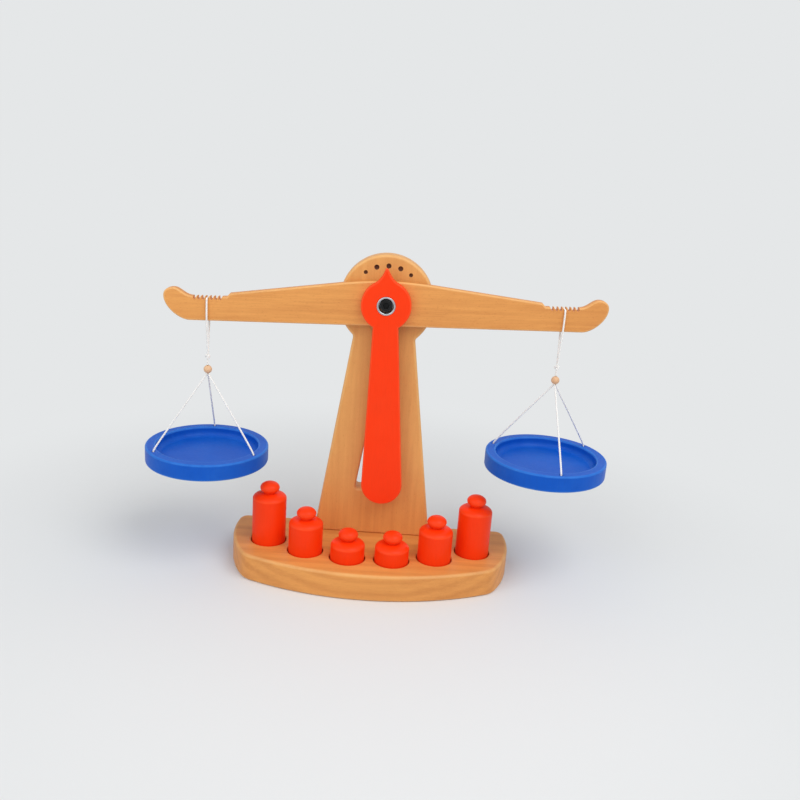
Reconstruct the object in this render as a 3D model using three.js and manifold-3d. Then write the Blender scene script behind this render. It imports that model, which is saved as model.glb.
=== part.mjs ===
// Wooden toy balance scale, in millimetres: X along the beam, Y to the back, +Z up.
// The origin is the middle of the base's underside.

import * as THREE from "three";
import { mergeVertices } from "three/addons/utils/BufferGeometryUtils.js";
import Module from "manifold-3d";

const wasm = await Module();
wasm.setup();

// Clearances and small common sizes
const contact_gap = 0.05;
const running_gap = 0.3;
const cut_overrun = 2;

// Base: a thick board with a straight back, bowed ends and a bowed front
const base_width = 251;
const base_depth = 103.5;
const base_thickness = 23.8;
const base_widest_from_back = 22.5;
const base_end_radius = 99;
const base_front_radius = 249;
const base_front_corner_radius = 22;
const base_back_corner_radius = 8;
const base_edge_round = 2.4;

// Post: a tapered upright with a round dial head and a triangular window
const pivot_height = 239.3;
const post_thickness = 18;
const post_setback = 4.4;
const post_foot_width = 106;
const post_neck_width = 53;
const post_neck_below_pivot = 28.3;
const post_neck_fillet = 3.5;
const post_edge_round = 2;
const post_leg_width = 29;
const head_radius = 40.5;
const window_sill_height = 43.2;
const window_corner_radius = 2.5;

// Dial marks: shallow drilled dots on a circle round the pivot
const mark_circle_radius = 31.4;
const mark_step_angle = 18.7;
const mark_depth = 1.2;
const mark_diameter = 4.3;
const end_mark_diameter = 3.4;
const marks_each_side = 2;

// Dowels and screws that hold the post on the base
const dowel_diameter = 8;
const dowel_depth = 14;
const dowel_edge_inset = 11;
const dowel_chamfer = 0.8;
const screw_spacing = 44;
const screw_shank_diameter = 4;
const screw_head_diameter = 8.4;
const screw_head_height = 3.2;
const screw_bite = 22;
const screw_tip_length = 5;

// Pivot bolt, its washers, its nut and the steel ring round its head
const bolt_shoulder_diameter = 8;
const bolt_thread_diameter = 6;
const bolt_head_diameter = 11;
const bolt_head_height = 3.2;
const bolt_head_round = 1;
const socket_across_flats = 5;
const socket_depth = 2;
const head_washer_diameter = 11.8;
const head_washer_thickness = 0.8;
const spacer_washer_diameter = 18;
const spacer_washer_thickness = 0.8;
const nut_across_flats = 10;
const nut_thickness = 5;
const nut_recess_diameter = 17;
const nut_recess_depth = 6.6;
const back_washer_diameter = 15.6;
const back_washer_thickness = 1.2;
const ring_outer_diameter = 15.8;
const ring_wall = 1.6;
const ring_lip = 0.4;
const ring_edge_round = 0.5;

// Beam: a tapered bar with a toothed rest and an upturned hook at each end
const beam_length = 375;
const beam_thickness = 8;
const beam_tilt = 2.2;
const beam_underside_drop = 18.5;
const beam_crown_rise = 19.6;
const beam_shoulder_rise = 16.2;
const beam_shoulder_reach = 45;
const beam_edge_round = 1.3;
const rest_step_inset = 56;
const rest_step_run = 2.7;
const rest_step_rise = 5.2;
const rest_floor_rise = 2.3;
const rest_end_inset = 24.5;
const hook_top_inset = 8.5;
const hook_top_rise = 9.1;
const hook_nose_rise = 1.9;
const hook_foot_inset = 21.5;
const hanger_inset = 37;
const notch_pitch = 3.6;
const notch_depth = 2.9;
const notches_each_side = 3;

// Pointer: disc, spire and long paddle tail on the front of the beam
const pointer_thickness = 7;
const pointer_disc_radius = 21.2;
const pointer_tip_rise = 30.9;
const pointer_tip_radius = 1.5;
const pointer_spire_half_width = 9.8;
const pointer_neck_width = 22;
const pointer_tail_drop = 160.8;
const pointer_tail_radius = 18;
const pointer_edge_round = 1.1;
const pin_diameter = 4;
const pin_depth = 4.4;
const pin_spacing = 28;

// Weights: three sizes, one set on each side, standing in a bowed row of recesses
const weight_diameter = 29.6;
const weight_recess_clearance = 0.9;
const weight_recess_depth = 6;
const large_weight_rise = 54.9;
const medium_weight_rise = 40.2;
const small_weight_rise = 26.8;
const weight_row_radius = 170.5;
const weight_row_from_front = 30.5;
const weight_step_angle = 12.93;
const weight_shoulder_height = 4.8;
const weight_neck_radius = 4.8;
const weight_neck_height = 0.8;
const knob_radius = 8.5;
const knob_height = 10.6;
const weight_foot_chamfer = 0.8;

// Pans: round dishes with a flat rim that is drilled for three cords
const pan_radius = 53.5;
const pan_height = 14.7;
const pan_bowl_radius = 44.4;
const pan_bowl_depth = 9;
const pan_bowl_round = 5;
const pan_edge_round = 1.6;
const pan_over_weight = 15.6;
const pan_cord_hole_diameter = 3.2;
const pan_knot_recess_diameter = 5.8;
const pan_knot_recess_depth = 5.4;
const pan_hole_angles = { left: 95, right: 36 };
const pan_cord_count = 3;

// Cords, knots and beads
const cord_diameter = 1.7;
const cord_face_gap = 0.5;
const cord_pair_gap = 0.2;
const knot_radius = 2.4;
const knot_drop = 51;
const bead_radius = 3.6;
const bead_drop = 62.5;
const rim_knot_radius = 2.3;

// Facets
const fine_sides = 32;
const round_sides = 20;
const small_sides = 12;
const cord_sides = 8;
const round_steps = 2;
const short_arc_steps = 4;
const arc_steps = 6;
const half_turn_steps = 9;
const head_arc_steps = 14;
const ball_rings = 6;

// Materials
const wood = { color: 0xdca468, roughness: 0.55, metalness: 0 };
const red_paint = { color: 0xfb4018, roughness: 0.38, metalness: 0 };
const blue_paint = { color: 0x1b54b8, roughness: 0.4, metalness: 0 };
const white_cord = { color: 0xf2f0ea, roughness: 0.9, metalness: 0 };
const bead_wood = { color: 0xe6bfa0, roughness: 0.55, metalness: 0 };
const bright_steel = { color: 0xc9ccd0, roughness: 0.25, metalness: 1 };
const black_steel = { color: 0x1d1f20, roughness: 0.45, metalness: 0.8 };

// Places that follow from the sizes above
const degree = Math.PI / 180;
const base_back_y = base_depth / 2;
const post_back_y = base_back_y - post_setback;
const post_front_y = post_back_y - post_thickness;
const post_mid_y = (post_back_y + post_front_y) / 2;
const post_foot_z = base_thickness + contact_gap;
const beam_back_y = post_front_y - spacer_washer_thickness - running_gap;
const beam_front_y = beam_back_y - beam_thickness;
const beam_mid_y = beam_back_y - beam_thickness / 2;
const beam_half_length = beam_length / 2;
const hanger_reach = beam_half_length - hanger_inset;
const cord_radius = cord_diameter / 2;
const notch_root_radius = cord_radius + running_gap;
const hanger_rise = rest_floor_rise - notch_depth + notch_root_radius;
const weight_top_z = base_thickness + large_weight_rise;
const pan_top_drop = pivot_height + hanger_rise - weight_top_z - pan_over_weight - pan_height;
const pan_hole_circle_radius = (pan_radius + pan_bowl_radius) / 2;
const strand_offset = beam_thickness / 2 + cord_face_gap + cord_radius;

const scale = new THREE.Group();

// Adds a named piece with its own material
function addPiece(parent, name, geometry, look) {
  const mesh = new THREE.Mesh(geometry, new THREE.MeshStandardMaterial(look));
  mesh.name = name;
  parent.add(mesh);
  return mesh;
}

// Turns a closed geometry into a solid for joining and cutting
function solidOf(geometry) {
  const bare = geometry.index ? geometry.toNonIndexed() : geometry.clone();
  bare.deleteAttribute("normal");
  bare.deleteAttribute("uv");
  const merged = mergeVertices(bare);
  return new wasm.Manifold(
    new wasm.Mesh({
      numProp: 3,
      vertProperties: new Float32Array(merged.attributes.position.array),
      triVerts: new Uint32Array(merged.index.array),
    }),
  );
}

// Turns a solid back into a geometry
function geometryOf(solid) {
  const mesh = solid.getMesh();
  const geometry = new THREE.BufferGeometry();
  geometry.setAttribute("position", new THREE.BufferAttribute(mesh.vertProperties, 3));
  geometry.setIndex(new THREE.BufferAttribute(mesh.triVerts, 1));
  const flat = geometry.toNonIndexed();
  flat.computeVertexNormals();
  return flat;
}

// Cuts a list of geometries out of a block
function cut(block, cutters) {
  return geometryOf(cutters.reduce((solid, cutter) => solid.subtract(solidOf(cutter)), solidOf(block)));
}

// Points of an arc, by angle in radians
function arcPoints(x, y, radius, start, end, steps) {
  return Array.from({ length: steps + 1 }, (_, i) => {
    const angle = start + ((end - start) * i) / steps;
    return new THREE.Vector2(x + radius * Math.cos(angle), y + radius * Math.sin(angle));
  });
}

// Leaves out points that repeat the one before or the first one
function tidyOutline(points) {
  const same = (a, b) => a.distanceTo(b) < contact_gap / 10;
  const kept = points.filter((point, i) => i === 0 || !same(point, points[i - 1]));
  return same(kept[0], kept.at(-1)) ? kept.slice(0, -1) : kept;
}

// Mirrors a right-hand outline, listed from its foot to its top, to the whole closed outline
function mirrored(right) {
  const left = right.map((point) => new THREE.Vector2(-point.x, point.y)).reverse();
  return tidyOutline([...right, ...left]);
}

// A board with rounded edges: outline in XY, thickness from 0 up along +Z
function board(outline, thickness, round, holes = []) {
  const shape = new THREE.Shape(outline);
  shape.holes = holes.map((hole) => new THREE.Path(hole));
  const geometry = new THREE.ExtrudeGeometry(shape, {
    depth: thickness - 2 * round,
    bevelEnabled: true,
    bevelThickness: round,
    bevelSize: round,
    bevelOffset: -round,
    bevelSegments: round_steps,
  });
  return geometry.translate(0, 0, round);
}

// Stands a board up: its outline's y becomes height and its thickness runs forward from the back
function stood(geometry) {
  return geometry.rotateX(Math.PI / 2);
}

// A round bar along +Z between two heights
function barUp(diameter, low, high, sides, x = 0, y = 0) {
  const bar = new THREE.CylinderGeometry(diameter / 2, diameter / 2, high - low, sides);
  return bar.rotateX(Math.PI / 2).translate(x, y, (low + high) / 2);
}

// A round bar along Y between two depths
function barBack(diameter, front, back, sides, x = 0, z = 0) {
  const bar = new THREE.CylinderGeometry(diameter / 2, diameter / 2, back - front, sides);
  return bar.translate(0, (front + back) / 2, 0).translate(x, 0, z);
}

// A turned piece: profile of radius and height, from the axis back to the axis
function turned(profile, sides) {
  return new THREE.LatheGeometry(profile, sides).rotateX(Math.PI / 2);
}

// A flat ring along Y between two depths
function ringBack(inner, outer, front, back, sides, round = 0) {
  const profile = [
    new THREE.Vector2(inner / 2, front),
    new THREE.Vector2(outer / 2 - round, front),
    new THREE.Vector2(outer / 2, front + round),
    new THREE.Vector2(outer / 2, back),
    new THREE.Vector2(inner / 2, back),
    new THREE.Vector2(inner / 2, front),
  ];
  return new THREE.LatheGeometry(round ? profile : profile.filter((_, i) => i !== 2), sides);
}

// A smooth cord path that steps from point to point of its list
class CordPath extends THREE.CatmullRomCurve3 {
  getPointAt(share, target) {
    return this.getPoint(share, target);
  }

  getTangentAt(share, target) {
    return this.getTangent(share, target);
  }
}

// A tube of cord along a hand-chosen list of points
function cordAlong(points) {
  const path = new CordPath(points, false, "centripetal");
  const section = new THREE.Shape(
    Array.from({ length: cord_sides }, (_, i) => {
      const angle = (2 * Math.PI * i) / cord_sides;
      return new THREE.Vector2(cord_radius * Math.cos(angle), cord_radius * Math.sin(angle));
    }),
  );
  const steps = points.length - 1;
  return new THREE.ExtrudeGeometry(section, { steps, bevelEnabled: false, extrudePath: path });
}

// Where the weights stand: a row bowed towards the front, largest outside
const weight_row_centre_y = -base_depth / 2 + weight_row_from_front + weight_row_radius;
const weight_places = [];
for (const [side, sign] of [["left", -1], ["right", 1]]) {
  const rises = { small: small_weight_rise, medium: medium_weight_rise, large: large_weight_rise };
  Object.entries(rises).forEach(([size, rise], i) => {
    const angle = (i + 0.5) * weight_step_angle * degree;
    weight_places.push({
      name: `weight_${size}_${side}`,
      rise,
      x: sign * weight_row_radius * Math.sin(angle),
      y: weight_row_centre_y - weight_row_radius * Math.cos(angle),
    });
  });
}

// Where the dowels and the screws stand under the post
const dowel_reach = post_foot_width / 2 - dowel_edge_inset;
const dowel_places = [["left", -dowel_reach], ["right", dowel_reach]];
const screw_places = [["left", -screw_spacing / 2], ["right", screw_spacing / 2]];

// The base's right-hand outline, from the front's middle round to the back's middle
function baseOutline() {
  const half = base_width / 2;
  const front_centre_y = base_front_radius - base_depth / 2;
  const end_centre = new THREE.Vector2(half - base_end_radius, base_back_y - base_widest_from_back);
  const front_centre = new THREE.Vector2(0, front_centre_y);
  const front_reach = base_front_radius - base_front_corner_radius;
  const end_reach = base_end_radius - base_front_corner_radius;
  const across = end_centre.clone().sub(front_centre);
  const apart = across.length();
  const along = (apart ** 2 + front_reach ** 2 - end_reach ** 2) / (2 * apart);
  const aside = Math.sqrt(front_reach ** 2 - along ** 2);
  const unit = across.clone().normalize();
  const corner = front_centre
    .clone()
    .addScaledVector(unit, along)
    .addScaledVector(new THREE.Vector2(-unit.y, unit.x), aside);
  const front_angle = Math.atan2(corner.y - front_centre.y, corner.x - front_centre.x);
  const end_angle = Math.atan2(corner.y - end_centre.y, corner.x - end_centre.x);
  const back_y = base_back_y - base_back_corner_radius;
  const back_reach = base_end_radius - base_back_corner_radius;
  const back_angle = Math.asin((back_y - end_centre.y) / back_reach);
  const back_x = end_centre.x + back_reach * Math.cos(back_angle);
  return mirrored([
    ...arcPoints(0, front_centre_y, base_front_radius, -Math.PI / 2, front_angle, half_turn_steps),
    ...arcPoints(corner.x, corner.y, base_front_corner_radius, front_angle, end_angle, arc_steps),
    ...arcPoints(end_centre.x, end_centre.y, base_end_radius, end_angle, back_angle, arc_steps),
    ...arcPoints(back_x, back_y, base_back_corner_radius, back_angle, Math.PI / 2, short_arc_steps),
  ]);
}

// Base, with recesses for the weights and holes for dowels and screws
function makeBase() {
  const recess_floor = base_thickness - weight_recess_depth;
  const recess_diameter = weight_diameter + 2 * weight_recess_clearance;
  const recesses = weight_places.map(({ x, y }) =>
    barUp(recess_diameter, recess_floor, base_thickness + cut_overrun, fine_sides, x, y),
  );
  const dowel_holes = dowel_places.map(([, x]) => {
    const diameter = dowel_diameter + 2 * contact_gap;
    const low = base_thickness - dowel_depth;
    return barUp(diameter, low, base_thickness + cut_overrun, small_sides, x, post_mid_y);
  });
  const screw_holes = screw_places.map(([, x]) =>
    screwBody(contact_gap, cut_overrun).translate(x, post_mid_y, 0),
  );
  const block = board(baseOutline(), base_thickness, base_edge_round);
  return cut(block, [...recesses, ...dowel_holes, ...screw_holes]);
}

// A countersunk screw, or the hole for it when it is grown by a clearance and an overrun
function screwBody(grow, overrun) {
  const head = screw_head_diameter / 2 + grow;
  const shank = screw_shank_diameter / 2 + grow;
  const seat = base_edge_round / 2;
  const tip = base_thickness + screw_bite + grow;
  return turned(
    [
      new THREE.Vector2(0, seat - grow - overrun),
      new THREE.Vector2(head, seat - grow - overrun),
      new THREE.Vector2(head, seat + grow),
      new THREE.Vector2(shank, seat + screw_head_height),
      new THREE.Vector2(shank, tip - screw_tip_length),
      new THREE.Vector2(0, tip),
    ],
    small_sides,
  );
}

// A plain dowel along +Z with chamfered ends
function dowelBody(diameter, length, chamfer) {
  const radius = diameter / 2;
  return turned(
    [
      new THREE.Vector2(0, 0),
      new THREE.Vector2(radius - chamfer, 0),
      new THREE.Vector2(radius, chamfer),
      new THREE.Vector2(radius, length - chamfer),
      new THREE.Vector2(radius - chamfer, length),
      new THREE.Vector2(0, length),
    ],
    small_sides,
  );
}

// The post's sides: half width at a height over its foot, and their lean
const post_rise = pivot_height - post_foot_z;
const post_neck_rise = post_rise - post_neck_below_pivot;
const post_taper = (post_foot_width - post_neck_width) / 2 / post_neck_rise;
const post_lean = Math.atan(post_taper);
const postHalfWidth = (height) => post_foot_width / 2 - post_taper * height;

// The post's outline, with a fillet where each side runs into the round head
function postOutline() {
  const reach = head_radius + post_neck_fillet;
  const offset = post_foot_width / 2 + post_neck_fillet / Math.cos(post_lean);
  const a = 1 + post_taper ** 2;
  const b = -2 * (post_taper * offset + post_rise);
  const c = offset ** 2 + post_rise ** 2 - reach ** 2;
  const fillet_height = (-b - Math.sqrt(b ** 2 - 4 * a * c)) / (2 * a);
  const fillet_x = offset - post_taper * fillet_height;
  const head_angle = Math.atan2(fillet_height - post_rise, fillet_x);
  return mirrored([
    new THREE.Vector2(post_foot_width / 2, 0),
    ...arcPoints(fillet_x, fillet_height, post_neck_fillet, post_lean - Math.PI,
      head_angle - Math.PI, short_arc_steps),
    ...arcPoints(0, post_rise, head_radius, head_angle, Math.PI / 2, head_arc_steps),
  ]);
}

// The window's outline: a triangle whose sides run beside the post's own sides
function windowOutline() {
  const side_inset = post_leg_width / Math.cos(post_lean);
  const halfWidth = (height) => postHalfWidth(height) - side_inset;
  const radius_across = window_corner_radius / Math.cos(post_lean);
  const low_height = window_sill_height + window_corner_radius;
  const low_x = halfWidth(low_height) - radius_across;
  const top_height = (post_foot_width / 2 - side_inset - radius_across) / post_taper;
  return mirrored([
    ...arcPoints(low_x, low_height, window_corner_radius, -Math.PI / 2, post_lean, short_arc_steps),
    ...arcPoints(0, top_height, window_corner_radius, post_lean, Math.PI / 2, short_arc_steps),
  ]);
}

// Post, with its window, bolt hole, dial marks and holes for dowels and screws
function makePost() {
  const block = stood(board(postOutline(), post_thickness, post_edge_round, [windowOutline()]));
  block.translate(0, post_back_y, post_foot_z);
  const bolt_hole = barBack(bolt_thread_diameter + 2 * running_gap, post_front_y - cut_overrun,
    post_back_y + cut_overrun, round_sides, 0, pivot_height);
  const nut_recess = barBack(nut_recess_diameter, post_back_y - nut_recess_depth,
    post_back_y + cut_overrun, round_sides, 0, pivot_height);
  const marks = [];
  for (let i = -marks_each_side; i <= marks_each_side; i += 1) {
    const angle = i * mark_step_angle * degree;
    const diameter = Math.abs(i) === marks_each_side ? end_mark_diameter : mark_diameter;
    marks.push(
      barBack(diameter, post_front_y - cut_overrun, post_front_y + mark_depth, small_sides,
        mark_circle_radius * Math.sin(angle), pivot_height + mark_circle_radius * Math.cos(angle)),
    );
  }
  const dowel_holes = dowel_places.map(([, x]) =>
    barUp(dowel_diameter + 2 * contact_gap, post_foot_z - cut_overrun, post_foot_z + dowel_depth,
      small_sides, x, post_mid_y),
  );
  const screw_holes = screw_places.map(([, x]) =>
    screwBody(contact_gap, cut_overrun).translate(x, post_mid_y, 0),
  );
  return cut(block, [bolt_hole, nut_recess, ...marks, ...dowel_holes, ...screw_holes]);
}

// Beam outline, from the middle of its underside round the right end to its crown
function beamOutline() {
  const half = beam_half_length;
  const foot_x = half - hook_foot_inset;
  const hook_top_x = half - hook_top_inset;
  const rest_end_x = half - rest_end_inset;
  const rest_step_x = half - rest_step_inset;
  const nose_bend_share = 0.42;
  const nose_lift_share = 0.46;
  const hook_curve_share = 0.35;
  const hook_fall_share = 0.56;
  const nose = new THREE.CubicBezierCurve(
    new THREE.Vector2(foot_x, -beam_underside_drop),
    new THREE.Vector2(foot_x + hook_foot_inset * nose_bend_share, -beam_underside_drop),
    new THREE.Vector2(half, hook_nose_rise - beam_underside_drop * (1 - nose_lift_share)),
    new THREE.Vector2(half, hook_nose_rise),
  );
  const hump = new THREE.CubicBezierCurve(
    new THREE.Vector2(half, hook_nose_rise),
    new THREE.Vector2(half, hook_top_rise - (hook_top_rise - hook_nose_rise) * hook_curve_share),
    new THREE.Vector2(hook_top_x + hook_top_inset * hook_fall_share, hook_top_rise),
    new THREE.Vector2(hook_top_x, hook_top_rise),
  );
  const fall = new THREE.CubicBezierCurve(
    new THREE.Vector2(hook_top_x, hook_top_rise),
    new THREE.Vector2(hook_top_x - (hook_top_x - rest_end_x) * hook_curve_share, hook_top_rise),
    new THREE.Vector2(hook_top_x - (hook_top_x - rest_end_x) * hook_fall_share, rest_floor_rise),
    new THREE.Vector2(rest_end_x, rest_floor_rise),
  );
  const crown = new THREE.QuadraticBezierCurve(
    new THREE.Vector2(beam_shoulder_reach, beam_shoulder_rise),
    new THREE.Vector2(beam_shoulder_reach / 2, beam_crown_rise),
    new THREE.Vector2(0, beam_crown_rise),
  );
  return mirrored([
    ...nose.getPoints(arc_steps),
    ...hump.getPoints(arc_steps),
    ...fall.getPoints(arc_steps),
    new THREE.Vector2(rest_step_x + rest_step_run, rest_floor_rise),
    new THREE.Vector2(rest_step_x, rest_step_rise),
    ...crown.getPoints(short_arc_steps),
  ]);
}

// One saw-cut notch, steep on its outer side, with a round root that the cord lies in
function notchCutter(x, sign) {
  const root_y = rest_floor_rise - notch_depth + notch_root_radius;
  const lean = notch_pitch - 2 * notch_root_radius;
  const top_y = rest_floor_rise + contact_gap;
  const shape = new THREE.Shape([
    ...arcPoints(0, root_y, notch_root_radius, -Math.PI, 0, short_arc_steps),
    new THREE.Vector2(notch_root_radius, top_y + cut_overrun),
    new THREE.Vector2(-notch_root_radius - lean / 2, top_y + cut_overrun),
    new THREE.Vector2(-notch_root_radius - lean / 2, top_y),
  ]);
  const depth = beam_thickness + 2 * cut_overrun;
  const geometry = new THREE.ExtrudeGeometry(shape, { depth, bevelEnabled: false });
  geometry.translate(0, 0, -cut_overrun);
  if (sign < 0) {
    geometry.rotateY(Math.PI).translate(0, 0, beam_thickness);
  }
  return stood(geometry).translate(x, 0, 0);
}

// Beam in its own frame: pivot at the origin, back face at 0, front face forward
function makeBeam() {
  const block = stood(board(beamOutline(), beam_thickness, beam_edge_round));
  const notches = [];
  for (const sign of [-1, 1]) {
    for (let i = -notches_each_side; i <= notches_each_side; i += 1) {
      notches.push(notchCutter(sign * (hanger_reach + i * notch_pitch), sign));
    }
  }
  const bore = barBack(bolt_shoulder_diameter + 2 * running_gap, -beam_thickness - cut_overrun,
    cut_overrun, round_sides);
  const pin_holes = [-1, 1].map((sign) =>
    barBack(pin_diameter + 2 * contact_gap, -beam_thickness - cut_overrun,
      pin_depth - beam_thickness, small_sides, (sign * pin_spacing) / 2),
  );
  return cut(block, [bore, ...notches, ...pin_holes]);
}

// Pointer outline, from the end of its tail round the right side to its tip
function pointerOutline() {
  const lean = Math.asin(
    (pointer_tail_radius - pointer_neck_width / 2) / (pointer_tail_drop - pointer_disc_radius),
  );
  const tail_x = pointer_tail_radius * Math.cos(lean);
  const tail_y = -pointer_tail_drop + pointer_tail_radius * Math.sin(lean);
  const slope = Math.tan(lean);
  const a = 1 + slope ** 2;
  const start = tail_x + slope * tail_y;
  const b = -2 * slope * start;
  const c = start ** 2 - pointer_disc_radius ** 2;
  const neck_y = (-b - Math.sqrt(b ** 2 - 4 * a * c)) / (2 * a);
  const neck_x = start - slope * neck_y;
  const neck_angle = Math.atan2(neck_y, neck_x);
  const spire_angle = Math.acos(pointer_spire_half_width / pointer_disc_radius);
  const spire_y = pointer_disc_radius * Math.sin(spire_angle);
  const spire_bend_share = 0.5;
  const spire_lift_share = 0.22;
  const spire = new THREE.QuadraticBezierCurve(
    new THREE.Vector2(pointer_spire_half_width, spire_y),
    new THREE.Vector2(
      pointer_spire_half_width * spire_bend_share,
      spire_y + (pointer_tip_rise - spire_y) * spire_lift_share,
    ),
    new THREE.Vector2(pointer_tip_radius, pointer_tip_rise - pointer_tip_radius),
  );
  return mirrored([
    ...arcPoints(0, -pointer_tail_drop, pointer_tail_radius, -Math.PI / 2, lean, half_turn_steps),
    ...arcPoints(0, 0, pointer_disc_radius, neck_angle, spire_angle, half_turn_steps),
    ...spire.getPoints(short_arc_steps),
    ...arcPoints(0, pointer_tip_rise - pointer_tip_radius, pointer_tip_radius, 0, Math.PI / 2,
      round_steps),
  ]);
}

// Pointer in the beam's frame, on the beam's front face
function makePointer() {
  const back = -beam_thickness - contact_gap;
  const front = back - pointer_thickness;
  const block = stood(board(pointerOutline(), pointer_thickness, pointer_edge_round));
  block.translate(0, back, 0);
  const ring_hole = barBack(ring_outer_diameter + 2 * contact_gap, front - cut_overrun,
    back + cut_overrun, round_sides);
  const pin_holes = [-1, 1].map((sign) =>
    barBack(pin_diameter + 2 * contact_gap, back - pin_depth, back + cut_overrun, small_sides,
      (sign * pin_spacing) / 2),
  );
  return cut(block, [ring_hole, ...pin_holes]);
}

// Pins that key the pointer to the beam, in the beam's frame
function makePin(sign) {
  const middle = -beam_thickness - contact_gap / 2;
  const half = pin_depth - running_gap;
  const chamfer = pin_diameter / 10;
  const pin = dowelBody(pin_diameter, 2 * half, chamfer);
  return pin.rotateX(-Math.PI / 2).translate((sign * pin_spacing) / 2, middle - half, 0);
}

// Steel ring that lines the pointer's eye, in the beam's frame
function makeRing() {
  const back = -beam_thickness - contact_gap;
  const front = back - pointer_thickness - ring_lip;
  const inner = ring_outer_diameter - 2 * ring_wall;
  return ringBack(inner, ring_outer_diameter, front, back, round_sides, ring_edge_round);
}

// Pivot bolt along Y: head inside the ring, shoulder through the beam, thread through the post
function makeBolt() {
  const head_back = beam_front_y - head_washer_thickness - 2 * contact_gap;
  const head_front = head_back - bolt_head_height;
  const shoulder_back = post_front_y - contact_gap;
  const thread_back = post_back_y - nut_recess_depth + back_washer_thickness + nut_thickness;
  const head_radius_flat = bolt_head_diameter / 2 - bolt_head_round;
  const profile = [
    new THREE.Vector2(0, head_front),
    new THREE.Vector2(head_radius_flat, head_front),
    ...arcPoints(head_radius_flat, head_front + bolt_head_round, bolt_head_round,
      -Math.PI / 2, 0, round_steps),
    new THREE.Vector2(bolt_head_diameter / 2, head_back),
    new THREE.Vector2(bolt_shoulder_diameter / 2, head_back),
    new THREE.Vector2(bolt_shoulder_diameter / 2, shoulder_back),
    new THREE.Vector2(bolt_thread_diameter / 2, shoulder_back),
    new THREE.Vector2(bolt_thread_diameter / 2, thread_back),
    new THREE.Vector2(0, thread_back),
  ];
  const body = new THREE.LatheGeometry(tidyOutline(profile), round_sides);
  const socket = hexBar(socket_across_flats, head_front - cut_overrun, head_front + socket_depth);
  return cut(body, [socket]).translate(0, 0, pivot_height);
}

// A six-sided bar along Y between two depths
function hexBar(across_flats, front, back) {
  const radius = across_flats / 2 / Math.cos(Math.PI / 6);
  const bar = new THREE.CylinderGeometry(radius, radius, back - front, 6);
  return bar.translate(0, (front + back) / 2, 0);
}

// Hexagon nut in the recess in the post's back
function makeNut() {
  const front = post_back_y - nut_recess_depth + back_washer_thickness + 2 * contact_gap;
  const back = front + nut_thickness;
  const bore = barBack(bolt_thread_diameter + 2 * contact_gap, front - cut_overrun,
    back + cut_overrun, round_sides);
  return cut(hexBar(nut_across_flats, front, back), [bore]).translate(0, 0, pivot_height);
}

// The three washers of the pivot, from front to back
function addWashers() {
  const head_back = beam_front_y - contact_gap;
  const bearing = bolt_shoulder_diameter + 2 * running_gap;
  const spacer_back = post_front_y - running_gap / 2;
  const nut_seat = post_back_y - nut_recess_depth + contact_gap;
  const washers = [
    ["head_washer", bearing, head_washer_diameter, head_back - head_washer_thickness, head_back],
    ["spacer_washer", bearing, spacer_washer_diameter, spacer_back - spacer_washer_thickness,
      spacer_back],
    ["back_washer", bolt_thread_diameter + 2 * running_gap, back_washer_diameter, nut_seat,
      nut_seat + back_washer_thickness],
  ];
  for (const [name, inner, outer, front, back] of washers) {
    const washer = ringBack(inner, outer, front, back, round_sides);
    addPiece(scale, name, washer.translate(0, 0, pivot_height), bright_steel);
  }
}

// A turned weight: cylinder, round shoulder, short neck and a ball knob
function makeWeight(rise) {
  const radius = weight_diameter / 2;
  const height = rise + weight_recess_depth - running_gap;
  const knob_middle = height - knob_height / 2;
  const neck_drop = Math.acos(weight_neck_radius / knob_radius);
  const neck_top = knob_middle - (knob_height / 2) * Math.sin(neck_drop);
  const shoulder_top = neck_top - weight_neck_height;
  const shoulder_run = radius - weight_neck_radius;
  const shoulder = arcPoints(0, 0, 1, 0, Math.PI / 2, short_arc_steps).map(
    (unit) =>
      new THREE.Vector2(
        weight_neck_radius + shoulder_run * unit.x,
        shoulder_top - weight_shoulder_height * (1 - unit.y),
      ),
  );
  const knob = arcPoints(0, 0, 1, -neck_drop, Math.PI / 2, arc_steps).map(
    (unit) => new THREE.Vector2(knob_radius * unit.x, knob_middle + (knob_height / 2) * unit.y),
  );
  knob.at(-1).x = 0;
  return turned(
    [
      new THREE.Vector2(0, 0),
      new THREE.Vector2(radius - weight_foot_chamfer, 0),
      new THREE.Vector2(radius, weight_foot_chamfer),
      ...shoulder,
      ...knob,
    ],
    round_sides,
  );
}

// The cord holes of a pan, as places on its rim
function rimPlaces(side) {
  return Array.from({ length: pan_cord_count }, (_, i) => {
    const angle = (pan_hole_angles[side] + (360 * i) / pan_cord_count) * degree;
    return new THREE.Vector2(
      pan_hole_circle_radius * Math.cos(angle),
      pan_hole_circle_radius * Math.sin(angle),
    );
  });
}

// A pan with its rim at height 0, drilled for the cords and recessed under them for the knots
function makePan(side) {
  const floor = -pan_bowl_depth;
  const profile = [
    new THREE.Vector2(0, -pan_height),
    ...arcPoints(pan_radius - pan_edge_round, -pan_height + pan_edge_round, pan_edge_round,
      -Math.PI / 2, 0, round_steps),
    ...arcPoints(pan_radius - pan_edge_round, -pan_edge_round, pan_edge_round, 0, Math.PI / 2,
      round_steps),
    ...arcPoints(pan_bowl_radius + pan_edge_round, -pan_edge_round, pan_edge_round, Math.PI / 2,
      Math.PI, round_steps),
    ...arcPoints(pan_bowl_radius - pan_bowl_round, floor + pan_bowl_round, pan_bowl_round,
      0, -Math.PI / 2, round_steps + 1),
    new THREE.Vector2(0, floor),
  ];
  const holes = rimPlaces(side).flatMap(({ x, y }) => [
    barUp(pan_cord_hole_diameter, -pan_height - cut_overrun, cut_overrun, small_sides, x, y),
    barUp(pan_knot_recess_diameter, -pan_height - cut_overrun, pan_knot_recess_depth - pan_height,
      small_sides, x, y),
  ]);
  return cut(turned(tidyOutline(profile), fine_sides), holes);
}

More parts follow.
